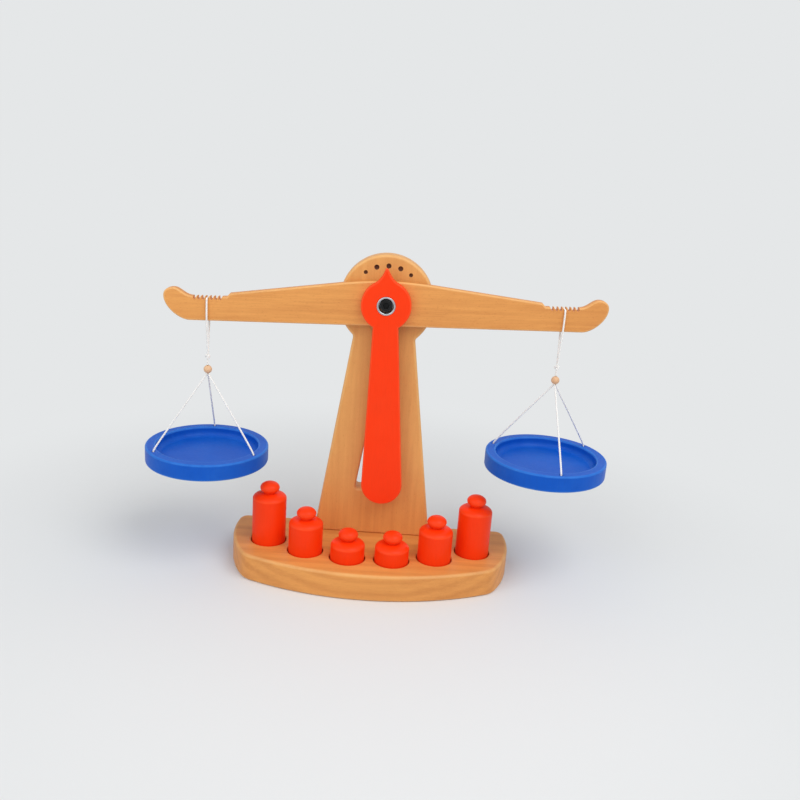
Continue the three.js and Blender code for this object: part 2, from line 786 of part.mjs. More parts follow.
// The doubled cord that hangs over a notch and runs down both faces of the beam to the knot
function makeLoop() {
  const bend = strand_offset - beam_thickness / 2;
  const end_y = (cord_diameter + cord_pair_gap) / 2;
  const end_z = knot_radius + running_gap - knot_drop;
  const strand = [
    new THREE.Vector3(0, end_y, end_z),
    new THREE.Vector3(0, end_y, end_z + cord_diameter),
    new THREE.Vector3(0, (end_y + strand_offset) / 2, (end_z - beam_underside_drop) / 2),
    new THREE.Vector3(0, strand_offset, -beam_underside_drop),
    ...arcPoints(beam_thickness / 2, -bend, bend, 0, Math.PI / 2, short_arc_steps).map(
      (point) => new THREE.Vector3(0, point.x, point.y),
    ),
  ];
  const other = strand.map((point) => new THREE.Vector3(0, -point.y, point.z)).reverse();
  return cordAlong([...strand, ...other]);
}

// A ball: a knot or a bead
function ball(radius, z) {
  const sphere = new THREE.SphereGeometry(radius, small_sides, ball_rings);
  return sphere.rotateX(Math.PI / 2).translate(0, 0, z);
}

// A hanger with its origin at the notch: loop, knot, link, bead, three cords, rim knots and pan
function addHanger(side, sign) {
  const tilt = beam_tilt * degree;
  const hanger = new THREE.Group();
  hanger.position.set(
    sign * hanger_reach * Math.cos(tilt) - hanger_rise * Math.sin(tilt),
    beam_mid_y,
    pivot_height + sign * hanger_reach * Math.sin(tilt) + hanger_rise * Math.cos(tilt),
  );
  scale.add(hanger);
  addPiece(hanger, `${side}_hanger_loop`, makeLoop(), white_cord);
  addPiece(hanger, `${side}_hanger_knot`, ball(knot_radius, -knot_drop), white_cord);
  const link_top = -knot_drop - knot_radius - running_gap;
  const link_foot = -bead_drop + bead_radius + running_gap;
  const link = barUp(cord_diameter, link_foot, link_top, cord_sides);
  addPiece(hanger, `${side}_bead_link`, link, white_cord);
  addPiece(hanger, `${side}_bead`, ball(bead_radius, -bead_drop), bead_wood);

  const pan = addPiece(hanger, `${side}_pan`, makePan(side), blue_paint);
  pan.position.z = -pan_top_drop;
  rimPlaces(side).forEach((place, i) => {
    const out = place.clone().normalize();
    const start = (cord_diameter + cord_pair_gap) / Math.sqrt(3);
    const lean = Math.atan2(place.length(), pan_top_drop - bead_drop);
    const top_z = -bead_drop - bead_radius - running_gap - cord_radius * Math.sin(lean);
    const mouth_z = -pan_top_drop + cord_radius;
    const knot_seat_z = -pan_top_drop - pan_height + pan_knot_recess_depth;
    const knot_z = knot_seat_z - running_gap - rim_knot_radius;
    const slope = (place.length() - start) / (top_z - mouth_z);
    const bend_reach = place.length() - cord_diameter * slope;
    const cord_points = [
      new THREE.Vector3(out.x * start, out.y * start, top_z),
      new THREE.Vector3(out.x * bend_reach, out.y * bend_reach, mouth_z + cord_diameter),
      new THREE.Vector3(place.x, place.y, mouth_z - cord_radius),
      new THREE.Vector3(place.x, place.y, knot_seat_z),
    ];
    addPiece(hanger, `${side}_pan_cord_${i + 1}`, cordAlong(cord_points), white_cord);
    const knot = ball(rim_knot_radius, knot_z).translate(place.x, place.y, 0);
    addPiece(hanger, `${side}_rim_knot_${i + 1}`, knot, white_cord);
  });
}

// The fixed pieces
addPiece(scale, "base", makeBase(), wood);
addPiece(scale, "post", makePost(), wood);
for (const [side, x] of dowel_places) {
  const length = 2 * (dowel_depth - running_gap);
  const dowel = dowelBody(dowel_diameter, length, dowel_chamfer);
  dowel.translate(x, post_mid_y, base_thickness - length / 2);
  addPiece(scale, `${side}_dowel`, dowel, wood);
}
for (const [side, x] of screw_places) {
  addPiece(scale, `${side}_screw`, screwBody(0, 0).translate(x, post_mid_y, 0), bright_steel);
}
addPiece(scale, "pivot_bolt", makeBolt(), black_steel);
addWashers();
addPiece(scale, "pivot_nut", makeNut(), bright_steel);

// The beam and what turns with it
const beam = new THREE.Group();
beam.position.set(0, beam_back_y, pivot_height);
beam.rotation.y = -beam_tilt * degree;
scale.add(beam);
addPiece(beam, "beam", makeBeam(), wood);
addPiece(beam, "pointer", makePointer(), red_paint);
addPiece(beam, "left_pointer_pin", makePin(-1), wood);
addPiece(beam, "right_pointer_pin", makePin(1), wood);
addPiece(beam, "pivot_ring", makeRing(), bright_steel);

// The weights
for (const { name, rise, x, y } of weight_places) {
  const weight = addPiece(scale, name, makeWeight(rise), red_paint);
  weight.position.set(x, y, base_thickness - weight_recess_depth + running_gap);
}

// The hangers and pans
addHanger("left", -1);
addHanger("right", 1);

export default scale;
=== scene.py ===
import math
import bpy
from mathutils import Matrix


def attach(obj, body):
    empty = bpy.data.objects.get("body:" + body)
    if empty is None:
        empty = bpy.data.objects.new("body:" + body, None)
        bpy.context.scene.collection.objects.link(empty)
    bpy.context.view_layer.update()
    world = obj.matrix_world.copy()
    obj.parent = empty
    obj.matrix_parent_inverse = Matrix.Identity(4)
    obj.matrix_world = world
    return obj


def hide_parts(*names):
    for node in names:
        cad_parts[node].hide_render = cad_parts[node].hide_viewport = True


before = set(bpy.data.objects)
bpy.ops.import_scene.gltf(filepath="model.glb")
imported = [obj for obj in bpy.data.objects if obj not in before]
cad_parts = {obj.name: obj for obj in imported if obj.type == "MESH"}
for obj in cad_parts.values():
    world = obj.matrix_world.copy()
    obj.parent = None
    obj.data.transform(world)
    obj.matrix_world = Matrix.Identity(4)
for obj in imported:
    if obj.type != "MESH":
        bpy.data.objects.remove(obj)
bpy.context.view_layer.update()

from types import SimpleNamespace

import bmesh
import bpy
from bpy.props import FloatProperty, FloatVectorProperty, IntProperty, PointerProperty
from mathutils import Matrix, Vector
from mathutils.geometry import delaunay_2d_cdt

bl_info = {
    "name": "Wooden Balance Scale",
    "version": (1, 0, 0),
    "blender": (4, 5, 0),
    "location": "3D Viewport > Sidebar > Balance Scale",
    "description": "Dresses a wooden toy balance scale on its packed frame",
    "category": "Add Mesh",
}

SIDES = {"left": -1, "right": 1}
CORD_NUMBERS = (1, 2, 3)
MARK_NUMBERS = (-2, -1, 0, 1, 2)

# Fineness of the meshes
ROUND_STEPS = 4
WIDE_SIDES = 128
TURNED_SIDES = 96
MIDDLE_SIDES = 64
NARROW_SIDES = 48
KNOT_RECESS_SIDES = 40
SMALL_SIDES = 32
HIDDEN_SIDES = 24
ROPE_SIDES = 8
PATH_STEPS = 24
KNOT_POINTS = 48

# Small common sizes in metres
CONTACT_GAP = 0.00005
RUNNING_GAP = 0.0003
SUPPORT = 0.0003
OVERRUN = 0.002
FINE_EDGE = 0.0002
BROKEN_EDGE = 0.0003
BORE_EDGE = 0.0004
RECESS_EDGE = 0.0005
RING_EDGE = 0.0006
EDGE_FACE = 0.0015
ROPE_STEP = 0.0004
KNOT_STEP = 0.00025

# Shares of a cord's diameter: a strand's radius, and the cord drawn tight in a knot
STRAND_SHARE = 0.255
KNOT_THINNING = 0.88

# How much fuller the tied knot is than the ball that it stands for
KNOT_FULLNESS = 1.08

# Angles in degrees over which an edge is drawn sharp
SHARP = 35
SHARP_ROPE = 80
SHARP_NUT = 25

# Bends, in radians per metre, at which the lighter edges start and are full: partly rubbed wear,
# partly a painted highlight
GENTLE_BEND = 130
SHARP_BEND = 550


def length(name, value, description):
    """A length in metres, with its default given in millimetres."""
    kind = {"default": value / 1000, "min": 0, "unit": "LENGTH", "precision": 4}
    return FloatProperty(name=name, description=description, **kind)


def turn(name, degrees, description):
    """An angle, with its default given in degrees."""
    kind = {"default": math.radians(degrees), "subtype": "ANGLE"}
    return FloatProperty(name=name, description=description, **kind)


def watts(name, power, description):
    """A lamp's power in watts."""
    return FloatProperty(name=name, description=description, default=power, unit="POWER")


def millimetres(name, value, description):
    """A lens's length, which Blender keeps in millimetres."""
    return FloatProperty(name=name, description=description, default=value, unit="CAMERA")


def position(name, place, description):
    """A place in metres, with its default given in millimetres."""
    kind = {"default": [value / 1000 for value in place], "size": 3}
    kind.update(subtype="TRANSLATION", unit="LENGTH")
    return FloatVectorProperty(name=name, description=description, **kind)


def linear(byte):
    """A colour channel as Blender stores it, from its usual 0 to 255 value."""
    share = byte / 255
    return share / 12.92 if share <= 0.04045 else ((share + 0.055) / 1.055) ** 2.4


def colour(name, red, green, blue, description):
    """A colour, with its default given in usual 0 to 255 values."""
    kind = {"default": [linear(byte) for byte in (red, green, blue)], "size": 3}
    kind.update(min=0, max=1, subtype="COLOR")
    return FloatVectorProperty(name=name, description=description, **kind)


class StandSizes(bpy.types.PropertyGroup):
    """Base board and post"""

    base_width: length("Base width", 251, "Width of the base board over its bowed ends")
    base_depth: length("Base depth", 103.5, "Depth of the base board in its middle")
    base_thickness: length("Base thickness", 23.8, "Thickness of the base board")
    base_widest: length("Widest place", 22.5, "How far the widest place is from the back")
    end_radius: length("End radius", 99, "Radius of the bowed ends")
    front_radius: length("Front radius", 249, "Radius of the bowed front")
    front_corner: length("Front corner radius", 22, "Radius between front and ends")
    back_corner: length("Back corner radius", 8, "Radius between back and ends")
    base_round: length("Base edge radius", 2.4, "Rounding of the base board's edges")
    pivot_height: length("Pivot height", 239.3, "Height of the beam's pivot")
    post_thickness: length("Post thickness", 18, "Thickness of the post")
    post_setback: length("Post setback", 4.4, "From the base's back to the post's back")
    foot_width: length("Foot width", 106, "Width of the post at its foot")
    neck_width: length("Neck width", 53, "Width of the post under its head")
    neck_drop: length("Neck drop", 28.3, "From the pivot down to the neck")
    neck_fillet: length("Neck fillet", 3.5, "Radius where a side meets the head")
    post_round: length("Post edge radius", 2, "Rounding of the post's edges")
    leg_width: length("Leg width", 29, "Width of the post beside its window")
    head_radius: length("Head radius", 40.5, "Radius of the round head")
    sill_height: length("Sill height", 43.2, "From the post's foot to its window")
    window_corner: length("Window corner radius", 2.5, "Radius of the window's corners")
    mark_circle: length("Mark circle radius", 31.4, "Radius of the row of dial marks")
    mark_step: turn("Mark step", 18.7, "Angle from one dial mark to the next")
    mark_depth: length("Mark depth", 1.2, "Depth of the dial marks")
    mark_width: length("Mark diameter", 4.3, "Diameter of the middle dial marks")
    end_mark_width: length("End mark diameter", 3.4, "Diameter of the outer dial marks")
    screw_spacing: length("Screw spacing", 44, "From one screw to the other")
    screw_head: length("Screw head diameter", 8.4, "Diameter of a screw's head")
    screw_shank: length("Screw shank diameter", 4, "Diameter of a screw's shank")
    screw_head_height: length("Screw head height", 3.2, "Height of a screw's head")
    screw_bite: length("Screw bite", 22, "How far a screw goes into the post")
    screw_tip: length("Screw tip", 5, "Length of a screw's tip")


class PivotSizes(bpy.types.PropertyGroup):
    """Bolt, washers, nut and ring"""

    shoulder: length("Shoulder diameter", 8, "Diameter of the shoulder the beam turns on")
    thread: length("Thread diameter", 6, "Diameter of the thread through the post")
    thread_pitch: length("Thread pitch", 1, "Pitch of the thread")
    head: length("Head diameter", 11, "Diameter of the bolt's head")
    head_height: length("Head height", 3.2, "Height of the bolt's head")
    head_round: length("Head edge radius", 1, "Rounding of the bolt's head")
    socket: length("Socket size", 5, "Size across the flats of the socket")
    socket_depth: length("Socket depth", 2, "Depth of the socket")
    head_washer: length("Head washer diameter", 11.8, "Washer under the bolt's head")
    thin_washer: length("Thin washer thickness", 0.8, "Thickness of the front washers")
    spacer_washer: length("Spacer washer diameter", 18, "Washer behind the beam")
    back_washer: length("Back washer diameter", 15.6, "Washer under the nut")
    back_thickness: length("Back washer thickness", 1.2, "Thickness of the nut's washer")
    nut: length("Nut size", 10, "Size across the flats of the nut")
    nut_height: length("Nut height", 5, "Height of the nut")
    recess: length("Nut recess diameter", 17, "Recess in the post's back")
    recess_depth: length("Nut recess depth", 6.6, "Depth of the nut's recess")
    ring: length("Ring diameter", 15.8, "Outer diameter of the steel ring")
    ring_wall: length("Ring wall", 1.6, "Wall thickness of the steel ring")
    ring_lip: length("Ring lip", 0.4, "How far the ring stands out of the pointer")


class BeamSizes(bpy.types.PropertyGroup):
    """Beam and pointer"""

    span: length("Beam length", 375, "Length of the beam over its hooks")
    thickness: length("Beam thickness", 8, "Thickness of the beam")
    tilt: turn("Tilt at rest", 2.2, "How far the left end stands lower")
    drop: length("Underside drop", 18.5, "From the pivot down to the underside")
    crown: length("Crown rise", 19.6, "From the pivot up to the crown")
    shoulder_rise: length("Shoulder rise", 16.2, "Height of the shoulders")
    shoulder_reach: length("Shoulder reach", 45, "Where the crown runs into the arms")
    edge_round: length("Beam edge radius", 1.3, "Rounding of the beam's edges")
    step_inset: length("Step inset", 56, "From the beam's end to the step")
    step_run: length("Step run", 2.7, "Length of the step's slope")
    step_rise: length("Step rise", 5.2, "Height of the step over the pivot line")
    floor_rise: length("Rest height", 2.3, "Height of the toothed rest")
    rest_end: length("Rest end inset", 24.5, "From the beam's end to the rest's end")
    hook_top_inset: length("Hook top inset", 8.5, "From the beam's end to the hook's top")
    hook_top_rise: length("Hook top rise", 9.1, "Height of the hook's top")
    hook_nose_rise: length("Hook nose rise", 1.9, "Height of the hook's nose")
    hook_foot: length("Hook foot inset", 21.5, "Where the hook's curve starts below")
    hanger_inset: length("Hanger inset", 37, "From the beam's end to its cord")
    notch_pitch: length("Notch pitch", 3.6, "From notch to notch")
    notch_depth: length("Notch depth", 2.9, "Depth of a notch")
    notches: IntProperty(name="Notches", description="Notches on each side of the cord", default=3)
    pointer_thickness: length("Pointer thickness", 7, "Thickness of the pointer")
    disc_radius: length("Disc radius", 21.2, "Radius of the pointer's disc")
    tip_rise: length("Tip rise", 30.9, "Height of the pointer's tip")
    tip_radius: length("Tip radius", 1.5, "Radius of the pointer's tip")
    spire: length("Spire half width", 9.8, "Half width of the spire's foot")
    neck: length("Pointer neck width", 22, "Width of the tail under the disc")
    tail_drop: length("Tail drop", 160.8, "From the pivot to the tail's round end")
    tail_radius: length("Tail radius", 18, "Radius of the tail's round end")
    pointer_round: length("Pointer edge radius", 1.1, "Rounding of the pointer's edges")


class WeightSizes(bpy.types.PropertyGroup):
    """Turned weights and their recesses"""

    diameter: length("Diameter", 29.6, "Diameter of a weight")
    clearance: length("Clearance", 0.9, "Gap round a weight in its recess")
    recess_depth: length("Recess depth", 6, "Depth of the recesses")
    large: length("Large height", 54.9, "Height of a large weight over the base")
    medium: length("Medium height", 40.2, "Height of a medium weight over the base")
    small: length("Small height", 26.8, "Height of a small weight over the base")
    row_radius: length("Row radius", 170.5, "Radius of the bowed row")
    row_inset: length("Row inset", 30.5, "From the base's front to the row")
    row_step: turn("Row step", 12.93, "Angle from one weight to the next")
    shoulder: length("Shoulder height", 4.8, "Height of the rounded shoulder")
    neck: length("Neck radius", 4.8, "Radius of the neck")
    neck_height: length("Neck height", 0.8, "Height of the neck")
    knob: length("Knob radius", 8.5, "Radius of the knob")
    knob_height: length("Knob height", 10.6, "Height of the knob")
    foot_chamfer: length("Foot chamfer", 0.8, "Chamfer round the foot")


class HangerSizes(bpy.types.PropertyGroup):
    """Pans, cords, knots and beads"""

    pan_radius: length("Pan radius", 53.5, "Radius of a pan")
    pan_height: length("Pan height", 14.7, "Height of a pan")
    bowl_radius: length("Bowl radius", 44.4, "Radius of a pan's bowl")
    bowl_depth: length("Bowl depth", 9, "Depth of a pan's bowl")
    bowl_round: length("Bowl corner radius", 5, "Radius between bowl wall and floor")
    rim_round: length("Rim edge radius", 1.6, "Rounding of a pan's rim")
    over_weight: length("Pan over weight", 15.6, "From a large weight to a pan level with it")
    cord_hole: length("Cord hole diameter", 3.2, "Diameter of the holes in the rim")
    knot_recess: length("Knot recess diameter", 5.8, "Diameter of the recesses below")
    knot_recess_depth: length("Knot recess depth", 5.4, "Depth of the recesses below")
    left_turn: turn("Left pan turn", 95, "Angle of the left pan's first cord")
    right_turn: turn("Right pan turn", 36, "Angle of the right pan's first cord")
    cord: length("Cord diameter", 1.7, "Diameter of the cords")
    lay: length("Cord lay", 5.2, "Length of one twist of a cord")
    face_gap: length("Cord face gap", 0.5, "From the beam's face to the cord")
    pair_gap: length("Cord pair gap", 0.2, "Between the two strands at the knot")
    knot: length("Knot radius", 2.4, "Radius of the hanger's knot")
    knot_drop: length("Knot drop", 51, "From the notch to the knot")
    bead: length("Bead radius", 3.6, "Radius of the bead")
    bead_drop: length("Bead drop", 62.5, "From the notch to the bead")
    rim_knot: length("Rim knot radius", 2.3, "Radius of the knots under the rim")


class Finishes(bpy.types.PropertyGroup):
    """Colours of the finishes"""

    beech: colour("Beech", 236, 168, 92, "Lacquered beech")
    beech_dark: colour("Dark grain", 184, 106, 50, "Dark streaks in the beech")
    # The edge colours lighten the rounded edges: partly rubbed wear, partly a painted highlight
    beech_edge: colour("Worn beech", 242, 192, 128, "Beech where its edges are rubbed_and_highlit")
    red: colour("Red paint", 255, 60, 8, "Paint of the pointer and the weights")
    red_edge: colour("Worn red", 255, 104, 58, "Red paint where its edges are rubbed_and_highlit")
    blue: colour("Blue paint", 4, 88, 198, "Paint of the pans")
    blue_edge: colour("Worn blue", 66, 142, 228, "Blue paint where its edges are rubbed_and_highlit")
    cotton: colour("Cotton", 252, 251, 249, "Cotton cord")
    bead: colour("Bead", 230, 192, 158, "Bare wood of the beads")
    steel: colour("Bright steel", 201, 204, 208, "Zinc plated steel")
    black: colour("Black steel", 17, 17, 19, "Blackened steel")
    burnt: colour("Burnt marks", 58, 24, 10, "Scorched dots on the dial")


class StageSettings(bpy.types.PropertyGroup):
    """Camera, floor and light"""

    camera: position("Camera", (6, -676, 369), "Where the camera stands")
    target: position("Target", (17, 0, 163), "Where the camera looks")
    roll: turn("Roll", 4.2, "How far the camera leans")
    lens: millimetres("Focal length", 37.7, "Focal length of the camera")
    floor: colour("Floor", 229, 231, 232, "Floor and backdrop")
    plain_from: length("Plain backdrop", 520, "Distance at which the floor turns quite plain")
    key: position("Key light", (520, -520, 1150), "Where the key light hangs")
    key_power: watts("Key power", 7.2, "Power of the key light")
    fill: position("Fill light", (-620, -720, 800), "Where the fill light hangs")
    fill_power: watts("Fill power", 3.4, "Power of the fill light")
    lamp: length("Lamp size", 1000, "Diameter of the lamps")
    sky: FloatProperty(name="Sky", description="Strength of the light from all round", default=0.59)


def places(scene):
    """All sizes, with the places that follow from them."""
    stand, pivot, beam = scene.scale_stand, scene.scale_pivot, scene.scale_beam
    weight, hanger = scene.scale_weights, scene.scale_hangers
    here = SimpleNamespace(stand=stand, pivot=pivot, beam=beam, weight=weight, hanger=hanger)
    here.look = scene.scale_finishes
    here.post_back = stand.base_depth / 2 - stand.post_setback
    here.post_front = here.post_back - stand.post_thickness
    here.post_foot = stand.base_thickness + CONTACT_GAP
    here.nut_seat = here.post_back - pivot.recess_depth
    here.beam_back = here.post_front - pivot.thin_washer - RUNNING_GAP
    here.beam_front = here.beam_back - beam.thickness
    here.hanger_reach = beam.span / 2 - beam.hanger_inset
    here.notch_root = hanger.cord / 2 + RUNNING_GAP
    here.hanger_rise = beam.floor_rise - beam.notch_depth + here.notch_root
    here.pan_drop = stand.pivot_height + here.hanger_rise - stand.base_thickness
    here.pan_drop = here.pan_drop - weight.large - hanger.over_weight - hanger.pan_height
    here.hole_circle = (hanger.pan_radius + hanger.bowl_radius) / 2
    here.strand = beam.thickness / 2 + hanger.face_gap + hanger.cord / 2
    here.upright = standing(0, stand.pivot_height)
    here.on_beam = standing(here.beam_back, stand.pivot_height, beam.tilt)
    here.notch, here.screw = {}, {}
    middle = (here.post_back + here.post_front) / 2
    for side, sign in SIDES.items():
        notch = Vector((sign * here.hanger_reach, here.hanger_rise, beam.thickness / 2))
        here.notch[side] = here.on_beam @ notch
        here.screw[side] = Matrix.Translation((sign * stand.screw_spacing / 2, middle, 0))
    return here


def standing(back, height, tilt=0.0):
    """Stands a board up: its outline's y becomes height, its thickness runs forward."""
    across = Vector((math.cos(tilt), 0, math.sin(tilt)))
    up = Vector((-math.sin(tilt), 0, math.cos(tilt)))
    turned = Matrix((across, up, Vector((0, -1, 0)))).transposed().to_4x4()
    return Matrix.Translation((0, back, height)) @ turned


def arc(x, y, radius, start, end, steps):
    """Points of an arc, by angle in radians."""
    angles = [start + (end - start) * i / steps for i in range(steps + 1)]
    return [Vector((x + radius * math.cos(a), y + radius * math.sin(a))) for a in angles]


def bezier(steps, *points):
    """Points of a curve with three or four control points."""
    found = []
    for i in range(steps + 1):
        share, level = i / steps, [Vector(point) for point in points]
        while len(level) > 1:
            level = [a.lerp(b, share) for a, b in zip(level, level[1:])]
        found.append(level[0])
    return found


def mirrored(right):
    """Closes a right-hand outline with its mirror image."""
    outline = right + [Vector((-point.x, point.y)) for point in reversed(right)]
    return [p for i, p in enumerate(outline) if (p - outline[i - 1]).length > 1e-6]


def inset(loop, distance):
    """Moves a closed loop to its left, corner by corner."""
    moved = []
    for i, point in enumerate(loop):
        before = (point - loop[i - 1]).normalized()
        after = (loop[(i + 1) % len(loop)] - point).normalized()
        normal = Vector((-before.y - after.y, before.x + after.x)).normalized()
        lean = max(0.3, normal.dot(Vector((-before.y, before.x))))
        moved.append(point + normal * (distance / lean))
    return moved


def inside(point, loop):
    """Whether a point lies in a closed loop."""
    found = False
    for i, b in enumerate(loop):
        a = loop[i - 1]
        if (a.y > point.y) != (b.y > point.y):
            if point.x < a.x + (point.y - a.y) * (b.x - a.x) / (b.y - a.y):
                found = not found
    return found


def filleted(corners, steps=5):
    """A profile whose corners, each given as radius, height and rounding, are rounded."""
    points = []
    for i, (x, y, rounding) in enumerate(corners):
        here = Vector((x, y))
        if rounding <= 0:
            points.append(here)
            continue
        before = Vector(corners[i - 1][:2]) - here
        after = Vector(corners[(i + 1) % len(corners)][:2]) - here
        a, b = before.normalized(), after.normalized()
        half = a.angle(b) / 2
        reach = rounding / math.tan(half)
        centre = here + (a + b).normalized() * (rounding / math.sin(half))
        start, end = here + a * reach - centre, here + b * reach - centre
        first = math.atan2(start.y, start.x)
        sweep = math.atan2(end.y, end.x) - first
        sweep = (sweep + math.pi) % (2 * math.pi) - math.pi
        if before.length > reach + 2 * SUPPORT:
            points.append(here + a * (reach + SUPPORT))
        points += arc(centre.x, centre.y, rounding, first, first + sweep, steps)
        if after.length > reach + 2 * SUPPORT:
            points.append(here + b * (reach + SUPPORT))
    return points


def bridge(bm, low, high):
    """Joins two rings of the same count with faces; a ring of one point makes a fan."""
    count = max(len(low), len(high))
    for i in range(count):
        j = (i + 1) % count
        corners = [low[i % len(low)], low[j % len(low)], high[j % len(high)], high[i % len(high)]]
        bm.faces.new(list(dict.fromkeys(corners)))


def add_prism(bm, outline, layers, matrix):
    """A closed body over an outline; every layer is a height and the outline's scale there."""
    rows = []
    for height, scale in layers:
        ring = [Vector((p.x * scale, p.y * scale, height)) for p in outline]
        rows.append([bm.verts.new(matrix @ point) for point in ring])
    for low, high in zip(rows, rows[1:]):
        bridge(bm, low, high)
    bm.faces.new(rows[0])
    bm.faces.new(rows[-1])


def fill(bm, rings, loops):
    """Closes a flat face between an outer ring and the rings of its holes."""
    flat = [point for loop in loops for point in loop]
    verts = [vert for ring in rings for vert in ring]
    edges, start = [], 0
    for loop in loops:
        edges += [(start + i, start + (i + 1) % len(loop)) for i in range(len(loop))]
        start += len(loop)
    found = delaunay_2d_cdt(flat, edges, [], 1, 1e-8)
    for triangle in found[2]:
        centre = sum((found[0][i] for i in triangle), Vector((0, 0))) / 3
        if not any(inside(centre, loop) for loop in loops[1:]):
            bm.faces.new([verts[found[3][i][0]] for i in triangle])


def add_board(bm, loops, thickness, rounding, matrix):
    """A board with rounded edges; the outer loop runs to the left, the holes to the right."""
    turns = [math.pi / 2 * i / ROUND_STEPS for i in range(ROUND_STEPS + 1)]
    lower = [(rounding + SUPPORT, 0.0)]
    lower += [(rounding * (1 - math.sin(a)), rounding * (1 - math.cos(a))) for a in turns]
    profile = lower + [(reach, thickness - depth) for reach, depth in reversed(lower)]
    rings = []
    for loop in loops:
        rows = []
        for reach, depth in profile:
            points = inset(loop, reach)
            rows.append([bm.verts.new(matrix @ Vector((p.x, p.y, depth))) for p in points])
        for low, high in zip(rows, rows[1:]):
            bridge(bm, low, high)
        rings.append(rows)
    flat = [inset(loop, rounding + SUPPORT) for loop in loops]
    fill(bm, [rows[0] for rows in rings], flat)
    fill(bm, [rows[-1] for rows in rings], flat)


def add_turned(bm, profile, sides, matrix, closed=False):
    """A turned body round its Z axis, from a profile of radius and height."""
    angles = [2 * math.pi * i / sides for i in range(sides)]
    rows = []
    for radius, height in [Vector(point) for point in profile]:
        ring = [(radius * math.cos(a), radius * math.sin(a), height) for a in angles]
        if radius < 1e-7:
            ring = [(0, 0, height)]
        rows.append([bm.verts.new(matrix @ Vector(point)) for point in ring])
    for low, high in zip(rows, rows[1:] + (rows[:1] if closed else [])):
        if len(low) > 1 or len(high) > 1:
            bridge(bm, low, high)


def add_drill(bm, radius, low, high, matrix, sides=SMALL_SIDES, lip=BROKEN_EDGE, through=False):
    """A cutter for a round hole with a broken edge at its high end, or at both ends."""
    profile = [(0, low), (radius, low)]
    if through:
        profile = [(0, low - OVERRUN), (radius + lip + OVERRUN, low - OVERRUN), (radius, low + lip)]
    profile += [(radius, high - lip), (radius + lip + OVERRUN, high + OVERRUN), (0, high + OVERRUN)]
    add_turned(bm, profile, sides, matrix)


def smoothed(points, step, closed=False):
    """A smooth path through points, as points that are a step apart."""
    if closed:
        points = [points[-1], *points, points[0], points[1]]
    else:
        points = [2 * points[0] - points[1], *points, 2 * points[-1] - points[-2]]
    fine = []
    for a, b, c, d in zip(points, points[1:], points[2:], points[3:]):
        spans = [max((q - p).length, 1e-6) ** 0.5 for p, q in ((a, b), (b, c), (c, d))]
        first = (b - a) / spans[0] - (c - a) / (spans[0] + spans[1]) + (c - b) / spans[1]
        last = (c - b) / spans[1] - (d - b) / (spans[1] + spans[2]) + (d - c) / spans[2]
        first, last = first * spans[1], last * spans[1]
        for i in range(PATH_STEPS):
            t = i / PATH_STEPS
            start = b * (2 * t**3 - 3 * t**2 + 1) + first * (t**3 - 2 * t**2 + t)
            fine.append(start + c * (3 * t**2 - 2 * t**3) + last * (t**3 - t**2))
    fine.append(points[-2])
    run = [0.0]
    for p, q in zip(fine, fine[1:]):
        run.append(run[-1] + (q - p).length)
    count = max(4, round(run[-1] / step))
    path, at = [], 0
    for i in range(count + 1):
        goal = run[-1] * i / count
        while at < len(fine) - 2 and run[at + 1] < goal:
            at += 1
        share = (goal - run[at]) / max(run[at + 1] - run[at], 1e-9)
        path.append(fine[at].lerp(fine[at + 1], min(max(share, 0), 1)))
    return path


def add_rope(bm, path, diameter, lay):
    """A twisted cord of three strands along a path."""
    strand = diameter * STRAND_SHARE
    reach = diameter / 2 - strand
    frames, side = [], None
    for i, point in enumerate(path):
        ahead = path[min(i + 1, len(path) - 1)] - path[max(i - 1, 0)]
        ahead.normalize()
        side = ahead.orthogonal() if side is None else side - ahead * side.dot(ahead)
        side = side.normalized()
        frames.append((point, side, ahead.cross(side), ahead))
    slope = math.atan2(2 * math.pi * reach, lay)
    angles = [2 * math.pi * j / ROPE_SIDES for j in range(ROPE_SIDES)]
    for number in range(3):
        rows, gone = [], 0.0
        for i, (point, side, other, ahead) in enumerate(frames):
            gone += (point - frames[i - 1][0]).length if i else 0
            angle = 2 * math.pi * (gone / lay + number / 3)
            out = side * math.cos(angle) + other * math.sin(angle)
            round_way = other * math.cos(angle) - side * math.sin(angle)
            flat = round_way * math.cos(slope) - ahead * math.sin(slope)
            middle = point + out * reach
            ring = [middle + (out * math.cos(a) + flat * math.sin(a)) * strand for a in angles]
            rows.append([bm.verts.new(corner) for corner in ring])
        for low, high in zip(rows, rows[1:]):
            bridge(bm, low, high)
        bm.faces.new(rows[0])
        bm.faces.new(rows[-1])


def knot_path(centre, radius, diameter, turned_by):
    """The closed path of a small tight knot round a centre."""
    reach = (radius - diameter / 2) / 3
    points = []
    for i in range(KNOT_POINTS):
        t = 2 * math.pi * i / KNOT_POINTS
        x = math.sin(t) + 2 * math.sin(2 * t)
        y = math.cos(t) - 2 * math.cos(2 * t)
        point = Vector((x, y, -2.1 * math.sin(3 * t))) * reach
        points.append(centre + Matrix.Rotation(turned_by, 3, "Z") @ point)
    return smoothed(points, KNOT_STEP, closed=True)


def mark_edges(bm):
    """Keeps how sharply the surface bends outwards, from 0 to 1, on its narrow faces."""
    layer = bm.loops.layers.float.new("wear_and_highlight")
    shares = {}
    for edge in bm.edges:
        area = sum(face.calc_area() for face in edge.link_faces)
        bend = edge.calc_face_angle_signed(0.0) * 2 * edge.calc_length() / max(area, 1e-12)
        share = (bend - GENTLE_BEND) / (SHARP_BEND - GENTLE_BEND)
        shares[edge] = min(max(share, 0), 1)
    for face in bm.faces:
        longest = max(edge.calc_length() for edge in face.edges)
        narrow = face.calc_area() < EDGE_FACE * longest
        for loop in face.loops:
            sharpest = max(shares[loop.edge], shares[loop.link_loop_prev.edge])
            loop[layer] = sharpest if narrow else 0.0


